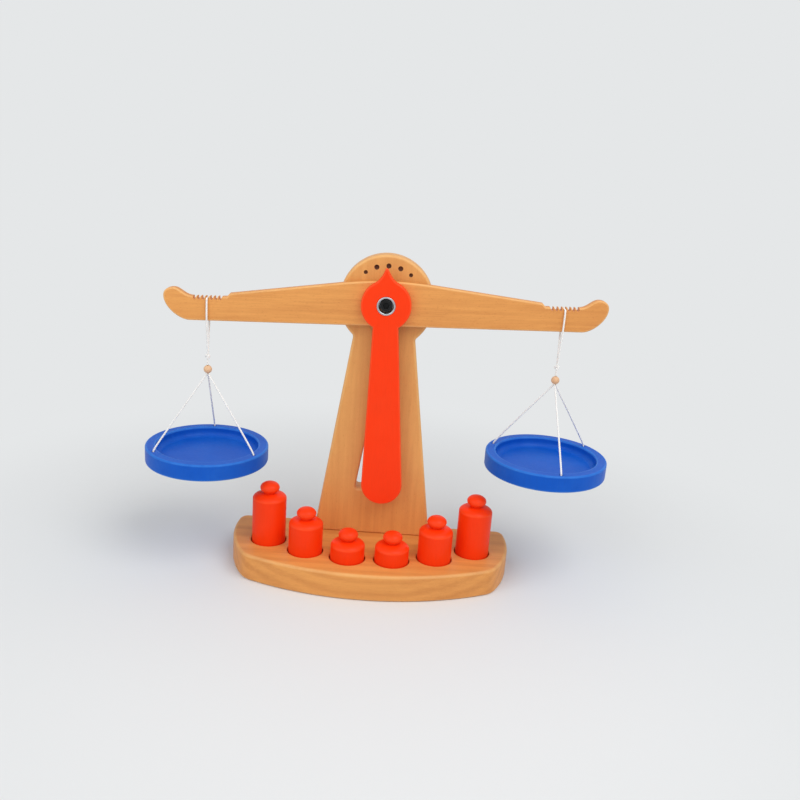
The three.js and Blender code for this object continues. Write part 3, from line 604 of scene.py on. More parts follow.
def shown(name, bm):
    """Turns a mesh under work into an object of the scene."""
    mesh = bpy.data.meshes.new(name)
    bm.to_mesh(mesh)
    bm.free()
    piece = bpy.data.objects.new(name, mesh)
    bpy.context.scene.collection.objects.link(piece)
    return piece


def cut(piece, cutter, operation):
    """Cuts a mesh out of a piece, or keeps what they share."""
    bmesh.ops.recalc_face_normals(cutter, faces=cutter.faces)
    tool = shown("cutter", cutter)
    modifier = piece.modifiers.new("cut", "BOOLEAN")
    modifier.operation = operation
    modifier.solver = "EXACT"
    modifier.object = tool
    shaped = piece.evaluated_get(bpy.context.evaluated_depsgraph_get())
    result = bpy.data.meshes.new_from_object(shaped)
    piece.modifiers.clear()
    old = (piece.data, tool.data)
    piece.data = result
    bpy.data.objects.remove(tool)
    for mesh in old:
        bpy.data.meshes.remove(mesh)


def made(name, bm, finish, body, node, cutters=(), within=None, sharp=SHARP):
    """Makes a finished piece of a body that stands for a node; meshes are cut out of it first."""
    bmesh.ops.recalc_face_normals(bm, faces=bm.faces)
    piece = shown(name, bm)
    if within:
        cut(piece, within, "INTERSECT")
    for cutter in cutters:
        cut(piece, cutter, "DIFFERENCE")
    clean = bmesh.new()
    clean.from_mesh(piece.data)
    bmesh.ops.remove_doubles(clean, verts=clean.verts, dist=1e-6)
    bmesh.ops.dissolve_degenerate(clean, edges=clean.edges, dist=1e-7)
    mark_edges(clean)
    clean.to_mesh(piece.data)
    clean.free()
    piece.data.shade_smooth()
    piece.data.set_sharp_from_angle(angle=math.radians(sharp))
    piece.data.materials.clear()
    piece.data.materials.append(finish_of(finish))
    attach(piece, body)
    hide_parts(node)
    return piece


class Nodes:
    """A node tree, with short ways to add and link nodes."""

    def __init__(self, tree):
        self.tree = tree

    def found(self, kind):
        """The tree's own node of a kind."""
        return next(node for node in self.tree.nodes if node.type == kind)

    def feed(self, node, inputs):
        """Links or sets inputs of a node, by name or number."""
        for key, value in inputs.items():
            if isinstance(value, bpy.types.NodeSocket):
                self.tree.links.new(value, node.inputs[key])
            else:
                node.inputs[key].default_value = value

    def add(self, kind, inputs, **settings):
        node = self.tree.nodes.new(f"ShaderNode{kind}")
        for key, value in settings.items():
            setattr(node, key, value)
        self.feed(node, inputs)
        return node

    def maths(self, operation, a, b, clamp=False):
        return self.add("Math", {0: a, 1: b}, operation=operation, use_clamp=clamp).outputs[0]

    def plus(self, a, b, clamp=False):
        return self.maths("ADD", a, b, clamp)

    def times(self, a, b, clamp=False):
        return self.maths("MULTIPLY", a, b, clamp)

    def blend(self, factor, a, b):
        """Mixes two colours, whose sockets are the node's inputs 6 and 7 and its output 2."""
        return self.add("Mix", {0: factor, 6: a, 7: b}, data_type="RGBA").outputs[2]

    def mapped(self, vector, **inputs):
        return self.add("Mapping", {"Vector": vector, **inputs}).outputs[0]

    def distance(self, vector):
        return self.add("VectorMath", {0: vector}, operation="LENGTH").outputs["Value"]

    def noise(self, vector, scale, detail=3.0, roughness=0.5):
        """Noise at one scale, or stretched by a scale for each axis."""
        if isinstance(scale, tuple):
            vector, scale = self.mapped(vector, Scale=scale), 1.0
        inputs = {"Vector": vector, "Scale": scale, "Detail": detail, "Roughness": roughness}
        return self.add("TexNoise", inputs).outputs["Fac"]

    def spread(self, value, low, high, to_low=0.0, to_high=1.0, **settings):
        inputs = {"Value": value, 1: low, 2: high, 3: to_low, 4: to_high}
        return self.add("MapRange", inputs, **settings).outputs["Result"]

    def seen_directly(self):
        """One for rays from the camera, and for those that gloss or glass sends on."""
        rays = self.add("LightPath", {}).outputs
        seen = self.plus(rays["Is Camera Ray"], rays["Is Glossy Ray"])
        return self.plus(seen, rays["Is Transmission Ray"], clamp=True)

    def mix_surfaces(self, share, a, b, output):
        """Mixes two shaders and puts the result out."""
        mixed = self.add("MixShader", {0: share, 1: a.outputs[0], 2: b.outputs[0]})
        self.feed(self.found(output), {"Surface": mixed.outputs[0]})


def group(name, inputs, *outputs):
    """A new shader node group; an input's default says whether it is a vector, colour or value."""
    tree = bpy.data.node_groups.new(name, "ShaderNodeTree")
    for label, default in inputs.items():
        kind = {type(None): "Vector", tuple: "Color", float: "Float"}[type(default)]
        socket = tree.interface.new_socket(label, in_out="INPUT", socket_type=f"NodeSocket{kind}")
        if default is not None:
            socket.default_value = default
    for label in outputs:
        kind = "Color" if label == "Color" else "Float"
        tree.interface.new_socket(label, in_out="OUTPUT", socket_type=f"NodeSocket{kind}")
    given = tree.nodes.new("NodeGroupInput").outputs
    return Nodes(tree), given, tree.nodes.new("NodeGroupOutput")


def wear_and_highlight_group():
    """Where edges show lighter, from the kept bend of the surface: partly rubbed wear, partly a
    painted highlight.
    """
    nodes, given, result = group("EdgeWearAndHighlight", {"Vector": None, "Amount": 0.6}, "Mask")
    bend = nodes.add("Attribute", {}, attribute_name="wear_and_highlight").outputs["Fac"]
    patches = nodes.noise(given["Vector"], 90.0, 4.0, 0.6)
    broken = nodes.times(bend, nodes.spread(patches, 0.3, 0.7, 0.55, 1.1))
    nodes.feed(result, {"Mask": nodes.times(broken, given["Amount"], clamp=True)})
    return nodes.tree


def grain_group():
    """Beech: soft bands, fine fibres and short dark flecks along X of the given vector."""
    inputs = {"Vector": None, "Light": (0.7, 0.34, 0.11, 1), "Dark": (0.5, 0.18, 0.04, 1)}
    inputs["Strength"] = 0.5
    nodes, given, result = group("BeechGrain", inputs, "Color", "Roughness", "Height")
    vector = given["Vector"]
    drift = nodes.noise(vector, (3.0, 16.0, 16.0), 2.0)
    streaks = nodes.noise(vector, (12.0, 300.0, 300.0), 3.0, 0.55)
    fibres = nodes.noise(vector, (60.0, 1500.0, 1500.0), 5.0, 0.6)
    flecks = nodes.noise(vector, (420.0, 2600.0, 2600.0), 1.0, 0.4)
    fleck = nodes.spread(flecks, 0.66, 0.74)
    wave = {"Vector": nodes.mapped(vector, Scale=(0.05, 1.0, 0.6)), "Scale": 34.0}
    wave.update({"Distortion": 5.0, "Detail": 2.0, "Detail Scale": 0.6})
    bands = nodes.add("TexWave", wave, bands_direction="Y").outputs["Fac"]
    tone = nodes.times(nodes.spread(bands, 0.2, 0.95), 0.34)
    tone = nodes.plus(tone, nodes.spread(streaks, 0.35, 0.75, 0.0, 0.42))
    tone = nodes.plus(tone, nodes.spread(drift, 0.3, 0.7, -0.12, 0.3))
    tone = nodes.plus(tone, nodes.spread(fibres, 0.4, 0.8, 0.0, 0.28))
    tone = nodes.plus(tone, nodes.times(fleck, 0.5))
    tone = nodes.times(tone, given["Strength"], clamp=True)
    found = {"Color": nodes.blend(tone, given["Light"], given["Dark"])}
    found["Roughness"] = nodes.spread(fibres, 0.3, 0.8, 0.4, 0.56)
    found["Height"] = nodes.maths("SUBTRACT", fibres, nodes.times(fleck, 0.6))
    nodes.feed(result, found)
    return nodes.tree


def paint_group():
    """Brushed paint on turned wood: soft mottling, orange peel and grain that shows through."""
    inputs = {"Vector": None, "Paint": (0.9, 0.05, 0.01, 1), "Worn_and_highlit": (1.0, 0.2, 0.1, 1)}
    inputs.update({"Wear_and_highlight": 0.0, "Mottling": 0.12})
    nodes, given, result = group("BrushedPaint", inputs, "Color", "Roughness", "Height")
    cloud = nodes.noise(given["Vector"], 38.0, 4.0, 0.55)
    grain = nodes.noise(given["Vector"], (900.0, 900.0, 70.0), 3.0, 0.6)
    peel = nodes.noise(given["Vector"], 620.0, 2.0, 0.5)
    darker = nodes.blend(0.45, given["Paint"], (0.02, 0.005, 0.01, 1))
    shade = nodes.plus(nodes.spread(cloud, 0.3, 0.75), nodes.spread(grain, 0.45, 0.85))
    shade = nodes.times(shade, given["Mottling"], clamp=True)
    tinted = nodes.blend(shade, given["Paint"], darker)
    found = {"Color": nodes.blend(given["Wear_and_highlight"], tinted, given["Worn_and_highlit"])}
    rough = nodes.spread(peel, 0.3, 0.7, 0.3, 0.38)
    found["Roughness"] = nodes.plus(rough, nodes.times(cloud, 0.14))
    found["Height"] = nodes.plus(nodes.times(peel, 0.7), nodes.times(grain, 0.5))
    nodes.feed(result, found)
    return nodes.tree


def handling_group():
    """Faint uneven dulling, as handling leaves it."""
    nodes, given, result = group("Handling", {"Vector": None, "Amount": 0.1}, "Mask")
    wide = nodes.noise(given["Vector"], 22.0, 5.0, 0.62)
    small = nodes.noise(given["Vector"], 240.0, 3.0, 0.6)
    both = nodes.times(nodes.spread(wide, 0.42, 0.72), nodes.spread(small, 0.3, 0.7, 0.4, 1.0))
    nodes.feed(result, {"Mask": nodes.times(both, given["Amount"], clamp=True)})
    return nodes.tree


def metal_group():
    """Fine rings left by turning, round a line along Y through the vector's origin."""
    inputs = {"Vector": None, "Base": (0.6, 0.6, 0.62, 1), "Shade": (0.12, 0.12, 0.13, 1)}
    inputs["Roughness"] = 0.25
    nodes, given, result = group("TurnedMetal", inputs, "Color", "Roughness", "Height")
    flat = nodes.add("VectorMath", {0: given["Vector"], 1: (1, 0, 1)}, operation="MULTIPLY")
    far = nodes.distance(flat.outputs[0])
    ringed = nodes.add("CombineXYZ", {"X": nodes.times(far, 5200.0)}).outputs[0]
    rings = nodes.noise(ringed, 1.0, 3.0, 0.6)
    cloud = nodes.noise(given["Vector"], 260.0, 4.0, 0.6)
    tone = nodes.spread(rings, 0.3, 0.7, 0.0, 0.14)
    tone = nodes.plus(tone, nodes.spread(cloud, 0.35, 0.75, 0.0, 0.2))
    found = {"Color": nodes.blend(tone, given["Base"], given["Shade"]), "Height": rings}
    found["Roughness"] = nodes.plus(given["Roughness"], nodes.spread(cloud, 0.3, 0.7, -0.04, 0.12))
    nodes.feed(result, found)
    return nodes.tree


def opaque(rgb):
    """A colour with full alpha."""
    return (*rgb, 1.0)


class Finish(Nodes):
    """A new material with its shader, its object coordinates and the shared effects."""

    def __init__(self, name, effects):
        self.material = bpy.data.materials.new(name)
        self.material.use_nodes = True
        super().__init__(self.material.node_tree)
        self.effects = effects
        self.shader = self.found("BSDF_PRINCIPLED")
        self.at = self.add("TexCoord", {}).outputs["Object"]

    def effect(self, name, inputs):
        """A shared node group, placed with this finish's own values."""
        return self.add("Group", inputs, node_tree=self.effects[name]).outputs

    def mask(self, name, amount):
        """Where a shared effect shows on the object."""
        return self.effect(name, {"Vector": self.at, "Amount": amount})["Mask"]

    def finish(self, tint, rough, height, strength, distance, constants):
        """Gives the shader its colour, roughness and bump, and what is the same all over."""
        bump = self.add("Bump", {"Height": height, "Strength": strength, "Distance": distance})
        varying = {"Base Color": tint, "Roughness": rough, "Normal": bump.outputs["Normal"]}
        self.feed(self.shader, {**varying, **constants})


def wood_finish(name, effects, look, light, turned_by, offset, strength):
    """Lacquered beech whose grain runs along the turned X axis."""
    wood = Finish(name, effects)
    along = wood.mapped(wood.at, Rotation=turned_by, Location=offset)
    inputs = {"Vector": along, "Light": opaque(light), "Dark": opaque(look.beech_dark)}
    grain = wood.effect("grain", {**inputs, "Strength": strength})
    # Rounded edges turn towards the edge colour: partly rubbed wear, partly a painted highlight
    wear_and_highlight, handled = wood.mask("wear_and_highlight", 0.55), wood.mask("handling", 0.16)
    worn_and_highlit = wood.blend(wear_and_highlight, grain["Color"], opaque(look.beech_edge))
    tint = wood.blend(handled, worn_and_highlit, opaque(look.beech_dark))
    rough = wood.plus(grain["Roughness"], wood.times(wear_and_highlight, 0.1))
    constants = {"Specular IOR Level": 0.3, "Coat Weight": 0.06, "Coat Roughness": 0.3}
    wood.finish(tint, rough, grain["Height"], 0.35, 0.00008, constants)


def burnt_finish(effects, look):
    """Wood scorched by a hot iron."""
    burnt = Finish("burnt_marks", effects)
    char = burnt.noise(burnt.at, 2600.0, 4.0, 0.65)
    lighter = [min(1, channel * 2.2) for channel in look.burnt]
    ashes = burnt.spread(char, 0.4, 0.75, 0.0, 0.7)
    tint = burnt.blend(ashes, opaque(look.burnt), opaque(lighter))
    tint = burnt.blend(burnt.mask("handling", 0.3), tint, opaque(look.beech_dark))
    burnt.finish(tint, burnt.spread(char, 0.3, 0.7, 0.7, 0.9), char, 0.5, 0.00006, {})


def paint_finish(name, effects, paint, worn_and_highlit, mottling, rub_and_highlight, lighter_patches):
    """Semi-gloss paint, a little lighter along its edges: partly rubbed wear, partly a painted
    highlight.
    """
    painted = Finish(name, effects)
    inputs = {"Vector": painted.at, "Paint": opaque(paint), "Worn_and_highlit": opaque(worn_and_highlit)}
    inputs.update({"Wear_and_highlight": painted.mask("wear_and_highlight", rub_and_highlight), "Mottling": mottling})
    coat = painted.effect("paint", inputs)
    handled = painted.mask("handling", lighter_patches)
    tint = painted.blend(handled, coat["Color"], opaque(worn_and_highlit))
    rough = painted.plus(coat["Roughness"], painted.times(handled, 0.6))
    constants = {"Specular IOR Level": 0.13, "Coat Weight": 0.05, "Coat Roughness": 0.22}
    painted.finish(tint, rough, coat["Height"], 0.3, 0.00012, constants)


def cotton_finish(effects, look):
    """Twisted cotton with fine fibres and a soft sheen."""
    cotton = Finish("white_cotton", effects)
    fibres = cotton.noise(cotton.at, 3800.0, 3.0, 0.65)
    cloud = cotton.noise(cotton.at, 120.0, 3.0, 0.5)
    shade = cotton.times(cotton.plus(fibres, cloud), 0.1, clamp=True)
    grey = [channel * 0.62 for channel in look.cotton]
    tint = cotton.blend(shade, opaque(look.cotton), opaque(grey))
    tint = cotton.blend(cotton.mask("handling", 0.15), tint, (0.62, 0.56, 0.46, 1))
    constants = {"Sheen Weight": 0.3, "Sheen Roughness": 0.5}
    rough = cotton.spread(fibres, 0.2, 0.8, 0.78, 0.96)
    cotton.finish(tint, rough, fibres, 0.4, 0.00006, constants)


def steel_finish(name, effects, base, roughness, centre, metallic, rub_and_highlight):
    """Turned and plated steel."""
    steel = Finish(name, effects)
    about = steel.mapped(steel.at, Location=[-value for value in centre])
    shade = [channel * 0.25 for channel in base]
    inputs = {"Vector": about, "Base": opaque(base), "Shade": opaque(shade)}
    metal = steel.effect("metal", {**inputs, "Roughness": roughness})
    # Edges turn lighter: partly rubbed wear, partly a painted highlight
    tint = steel.blend(steel.mask("wear_and_highlight", rub_and_highlight), metal["Color"], (0.72, 0.73, 0.75, 1))
    rough = steel.plus(metal["Roughness"], steel.times(steel.mask("handling", 0.2), 0.8))
    steel.finish(tint, rough, metal["Height"], 0.25, 0.00003, {"Metallic": metallic})


def finish_of(name):
    """The finish of that name, built with all others when it is first asked for."""
    if name not in bpy.data.materials:
        build_finishes(places(bpy.context.scene))
    return bpy.data.materials[name]


def build_finishes(here):
    """Builds the shared node groups once, then every finish."""
    look = here.look
    effects = {
        "wear_and_highlight": wear_and_highlight_group(),
        "grain": grain_group(),
        "paint": paint_group(),
        "handling": handling_group(),
        "metal": metal_group(),
    }
    upright = (0, math.pi / 2, 0)
    # The last number makes a board's colour lighter and yellower; the post's 1.1 is partly its own
    # tone, partly painted light that brightens the post where it lies in shade
    for name, turned_by, offset, strength, warmth_and_light in (
        ("beech_base", (0.9, 0, 0), (0.31, 0.07, 0.02), 0.54, 0.95),
        ("beech_post", upright, (0.11, 0.43, 0.05), 0.44, 1.1),
        ("beech_beam", (0, here.beam.tilt, 0), (0.83, 0.21, 0.13), 0.74, 0.97),
        ("beech_small", upright, (0.57, 0.05, 0.31), 0.6, 1.02),
    ):
        light = [min(1.0, c * k) for c, k in zip(look.beech, (1.0, warmth_and_light, warmth_and_light * warmth_and_light))]
        wood_finish(name, effects, look, light, turned_by, offset, strength)
    wood_finish("bead_wood", effects, look, look.bead, upright, (0.2, 0.9, 0.4), 0.3)
    burnt_finish(effects, look)
    paint_finish("brushed_red", effects, look.red, look.red_edge, 0.1, 0.4, 0.07)
    # The blue gets a larger share of lighter, rougher patches than the red
    paint_finish("brushed_blue", effects, look.blue, look.blue_edge, 0.18, 0.45, 0.2)
    cotton_finish(effects, look)
    pivot = (0, 0, here.stand.pivot_height)
    steel_finish("plated_steel", effects, look.steel, 0.2, pivot, 1.0, 0.35)
    steel_finish("blackened_steel", effects, look.black, 0.42, pivot, 0.6, 0.06)


def base_outline(stand):
    """The base board's outline: bowed front and ends, straight back."""
    half, back = stand.base_width / 2, stand.base_depth / 2
    front = Vector((0, stand.front_radius - back))
    end = Vector((half - stand.end_radius, back - stand.base_widest))
    front_reach = stand.front_radius - stand.front_corner
    end_reach = stand.end_radius - stand.front_corner
    across = end - front
    apart = across.length
    along = (apart**2 + front_reach**2 - end_reach**2) / (2 * apart)
    aside = math.sqrt(front_reach**2 - along**2)
    unit = across / apart
    corner = front + unit * along + Vector((-unit.y, unit.x)) * aside
    front_angle = math.atan2(corner.y - front.y, corner.x - front.x)
    end_angle = math.atan2(corner.y - end.y, corner.x - end.x)
    back_y = back - stand.back_corner
    back_reach = stand.end_radius - stand.back_corner
    back_angle = math.asin((back_y - end.y) / back_reach)
    back_x = end.x + back_reach * math.cos(back_angle)
    return mirrored(
        arc(front.x, front.y, stand.front_radius, -math.pi / 2, front_angle, 28)
        + arc(corner.x, corner.y, stand.front_corner, front_angle, end_angle, 12)
        + arc(end.x, end.y, stand.end_radius, end_angle, back_angle, 20)
        + arc(back_x, back_y, stand.back_corner, back_angle, math.pi / 2, 8)
    )


def tangent_height(a, b, c):
    """The lower root of a quadratic, where a straight side meets a circle."""
    return (-b - math.sqrt(b**2 - 4 * a * c)) / (2 * a)


def post_outlines(here):
    """The outlines of the post and of its window, over the post's foot."""
    stand = here.stand
    half = stand.foot_width / 2
    rise = stand.pivot_height - here.post_foot
    taper = (stand.foot_width - stand.neck_width) / 2 / (rise - stand.neck_drop)
    lean = math.atan(taper)
    reach = stand.head_radius + stand.neck_fillet
    offset = half + stand.neck_fillet / math.cos(lean)
    b, c = -2 * (taper * offset + rise), offset**2 + rise**2 - reach**2
    fillet_y = tangent_height(1 + taper**2, b, c)
    fillet_x = offset - taper * fillet_y
    head_angle = math.atan2(fillet_y - rise, fillet_x)
    outer = mirrored(
        [Vector((half, 0))]
        + arc(fillet_x, fillet_y, stand.neck_fillet, lean - math.pi, head_angle - math.pi, 8)
        + arc(0, rise, stand.head_radius, head_angle, math.pi / 2, 40)
    )
    leg = stand.leg_width / math.cos(lean)
    corner = stand.window_corner
    wide = corner / math.cos(lean)
    low = stand.sill_height + corner
    low_x = half - taper * low - leg - wide
    top = (half - leg - wide) / taper
    window = mirrored(
        arc(low_x, low, corner, -math.pi / 2, lean, 8) + arc(0, top, corner, lean, math.pi / 2, 8)
    )
    return outer, window[::-1]


def beam_outline(beam):
    """The beam's outline, with the flat floor of its toothed rests."""
    half = beam.span / 2
    foot, top = half - beam.hook_foot, half - beam.hook_top_inset
    rest, step = half - beam.rest_end, half - beam.step_inset
    nose, rise, floor = beam.hook_nose_rise, beam.hook_top_rise, beam.floor_rise
    low = -beam.drop
    # The middle points of every curve, as shares of the way between its ends
    bow = (foot + beam.hook_foot * 0.42, low), (half, nose + low * 0.54)
    hook = (half, rise - (rise - nose) * 0.35), (top + beam.hook_top_inset * 0.56, rise)
    fall = (top - (top - rest) * 0.35, rise), (top - (top - rest) * 0.56, floor)
    crown = (beam.shoulder_reach / 2, beam.crown), (0, beam.crown)
    return mirrored(
        bezier(14, (foot, low), *bow, (half, nose))
        + bezier(10, (half, nose), *hook, (top, rise))
        + bezier(12, (top, rise), *fall, (rest, floor))
        + [Vector((step + beam.step_run, floor)), Vector((step, beam.step_rise))]
        + bezier(10, (beam.shoulder_reach, beam.shoulder_rise), *crown)
    )


def pointer_outline(beam):
    """The pointer's outline: spire, disc and long paddle tail."""
    lean = math.asin((beam.tail_radius - beam.neck / 2) / (beam.tail_drop - beam.disc_radius))
    slope = math.tan(lean)
    tail_x = beam.tail_radius * math.cos(lean)
    tail_y = -beam.tail_drop + beam.tail_radius * math.sin(lean)
    start = tail_x + slope * tail_y
    neck_y = tangent_height(1 + slope**2, -2 * slope * start, start**2 - beam.disc_radius**2)
    neck_angle = math.atan2(neck_y, start - slope * neck_y)
    spire_angle = math.acos(beam.spire / beam.disc_radius)
    spire_y = beam.disc_radius * math.sin(spire_angle)
    waist = (beam.spire * 0.5, spire_y + (beam.tip_rise - spire_y) * 0.22)
    tip = beam.tip_rise - beam.tip_radius
    return mirrored(
        arc(0, -beam.tail_drop, beam.tail_radius, -math.pi / 2, lean, 28)
        + arc(0, 0, beam.disc_radius, neck_angle, spire_angle, 28)
        + bezier(10, (beam.spire, spire_y), waist, (beam.tip_radius, tip))
        + arc(0, tip, beam.tip_radius, 0, math.pi / 2, 5)
    )


def dial_marks(stand):
    """The place of every dial mark beside and over the pivot, and its diameter."""
    marks = []
    for number in MARK_NUMBERS:
        angle = number * stand.mark_step
        place = (stand.mark_circle * math.sin(angle), stand.mark_circle * math.cos(angle))
        outer = number in (MARK_NUMBERS[0], MARK_NUMBERS[-1])
        marks.append((*place, stand.end_mark_width if outer else stand.mark_width))
    return marks


def weight_spots(here):
    """Name, height and place of every weight."""
    weight = here.weight
    centre = -here.stand.base_depth / 2 + weight.row_inset + weight.row_radius
    spots = []
    for side, sign in SIDES.items():
        for i, size in enumerate(("small", "medium", "large")):
            angle = (i + 0.5) * weight.row_step
            x = sign * weight.row_radius * math.sin(angle)
            y = centre - weight.row_radius * math.cos(angle)
            spots.append((f"{size}_{side}", f"{size}_weight_{side}", getattr(weight, size), x, y))
    return spots


def weight_profile(weight, rise):
    """A turned weight's profile, from the middle of its foot to the top of its knob."""
    radius, half = weight.diameter / 2, weight.knob_height / 2
    height = rise + weight.recess_depth - RUNNING_GAP
    knob_middle = height - half
    drop = math.acos(weight.neck / weight.knob)
    shoulder_top = knob_middle - half * math.sin(drop) - weight.neck_height
    run = radius - weight.neck
    low = shoulder_top - weight.shoulder
    foot = [(0, 0, 0), (radius, 0, weight.foot_chamfer), (radius, low, 0)]
    profile = [Vector((0, 0)), Vector((radius - weight.foot_chamfer - SUPPORT, 0))]
    profile += filleted(foot)[2:-1] + [Vector((radius, low - SUPPORT * 3))]
    for unit in arc(0, 0, 1, 0, math.pi / 2, 16):
        profile.append(Vector((weight.neck + run * unit.x, low + weight.shoulder * unit.y)))
    for unit in arc(0, 0, 1, -drop, math.pi / 2, 26):
        profile.append(Vector((weight.knob * unit.x, knob_middle + half * unit.y)))
    profile[-1].x = 0
    return profile


def screw_profile(stand, grow, overrun):
    """A countersunk screw's profile, or its hole's."""
    head, shank = stand.screw_head / 2 + grow, stand.screw_shank / 2 + grow
    seat = stand.base_round / 2
    top = seat - grow - overrun
    tip = stand.base_thickness + stand.screw_bite + grow
    cone = [(head, seat + grow), (shank, seat + stand.screw_head_height)]
    return [(0, top), (head, top), *cone, (shank, tip - stand.screw_tip), (0, tip)]


def add_screw_holes(bm, here, sides):
    """Cutters for the holes of both screws."""
    for place in here.screw.values():
        add_turned(bm, screw_profile(here.stand, CONTACT_GAP, OVERRUN), sides, place)


def corner_reach(across_flats):
    """From a hexagon's middle to its corners."""
    return across_flats / 2 / math.cos(math.pi / 6)


def hexagon(across_flats):
    """The corners of a hexagon."""
    return arc(0, 0, corner_reach(across_flats), 0, 2 * math.pi, 6)[:-1]


def rim_spots(here, side):
    """Where the cords go through a pan's rim."""
    start = here.hanger.left_turn if side == "left" else here.hanger.right_turn
    angles = [start + 2 * math.pi * i / len(CORD_NUMBERS) for i in range(len(CORD_NUMBERS))]
    return [Vector((math.cos(a), math.sin(a), 0)) * here.hole_circle for a in angles]


def refinish(node, name):
    """Gives a node that stays its finish."""
    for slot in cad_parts[node].material_slots:
        slot.material = finish_of(name)


def raised(height):
    """Moves along Z."""
    return Matrix.Translation((0, 0, height))


def aimed(place, target):
    """Stands something at a place so that it looks at a target."""
    place = Vector(place)
    aim = (Vector(target) - place).to_track_quat("-Z", "Y")
    return Matrix.Translation(place) @ aim.to_matrix().to_4x4()


class SCALE_OT_stage(bpy.types.Operator):
    """Set the camera, the floor with its backdrop and the studio light"""

    bl_idname = "balance_scale.stage"
    bl_label = "Stage"

    def execute(self, context):
        scene = context.scene
        settings = scene.scale_stage
        self.set_camera(scene, settings)
        self.set_floor(settings)
        self.set_light(scene, settings)
        scene.view_settings.view_transform = "Standard"
        return {"FINISHED"}

    def set_camera(self, scene, settings):
        data = bpy.data.cameras.new("camera")
        data.sensor_width = 36
        data.lens = settings.lens
        data.clip_start, data.clip_end = 0.05, 20
        camera = bpy.data.objects.new("camera", data)
        roll = Matrix.Rotation(settings.roll, 4, "Z")
        camera.matrix_world = aimed(settings.camera, settings.target) @ roll
        scene.collection.objects.link(camera)
        scene.camera = camera

    def set_floor(self, settings):
        """A floor that curves up into its backdrop."""
        half, near, far, top, bend = 2.6, -2.0, 1.6, 2.4, 0.5
        curve = arc(far - bend, bend, bend, -math.pi / 2, 0, 16)
        section = [Vector((near, 0)), *curve, Vector((far, top))]
        bm = bmesh.new()
        left, right = [[bm.verts.new((x, p.x, p.y)) for p in section] for x in (-half, half)]
        for i in range(len(section) - 1):
            bm.faces.new((left[i], right[i], right[i + 1], left[i + 1]))
        floor = shown("floor", bm)
        floor.data.shade_smooth()
        floor.data.materials.append(self.floor_material(settings))

    def floor_material(self, settings):
        """Takes the object's shadow near it, and turns to its plain colour further off."""
        pale = Finish("pale_floor", {})
        pale.feed(pale.shader, {"Base Color": opaque(settings.floor), "Roughness": 0.9})
        pale.feed(pale.shader, {"Specular IOR Level": 0.2})
        start, end = settings.plain_from * 0.4, settings.plain_from
        plain = pale.spread(pale.distance(pale.at), start, end, interpolation_type="SMOOTHSTEP")
        share = pale.times(plain, pale.seen_directly())
        glow = pale.add("Emission", {"Color": opaque(settings.floor)})
        pale.mix_surfaces(share, pale.shader, glow, "OUTPUT_MATERIAL")
        return pale.material

    def set_light(self, scene, settings):
        world = bpy.data.worlds.new("studio")
        world.use_nodes = True
        nodes = Nodes(world.node_tree)
        light = nodes.found("BACKGROUND")
        nodes.feed(light, {"Color": (1, 1, 1, 1), "Strength": settings.sky})
        plain = nodes.add("Background", {"Color": opaque(settings.floor), "Strength": 1.0})
        nodes.mix_surfaces(nodes.seen_directly(), light, plain, "OUTPUT_WORLD")
        scene.world = world
        for name, place, power in (
            ("key", settings.key, settings.key_power),
            ("fill", settings.fill, settings.fill_power),
        ):
            data = bpy.data.lights.new(name, "AREA")
            data.shape = "DISK"
            data.size = settings.lamp
            data.energy = power
            lamp = bpy.data.objects.new(name, data)
            lamp.matrix_world = aimed(place, settings.target)
            scene.collection.objects.link(lamp)


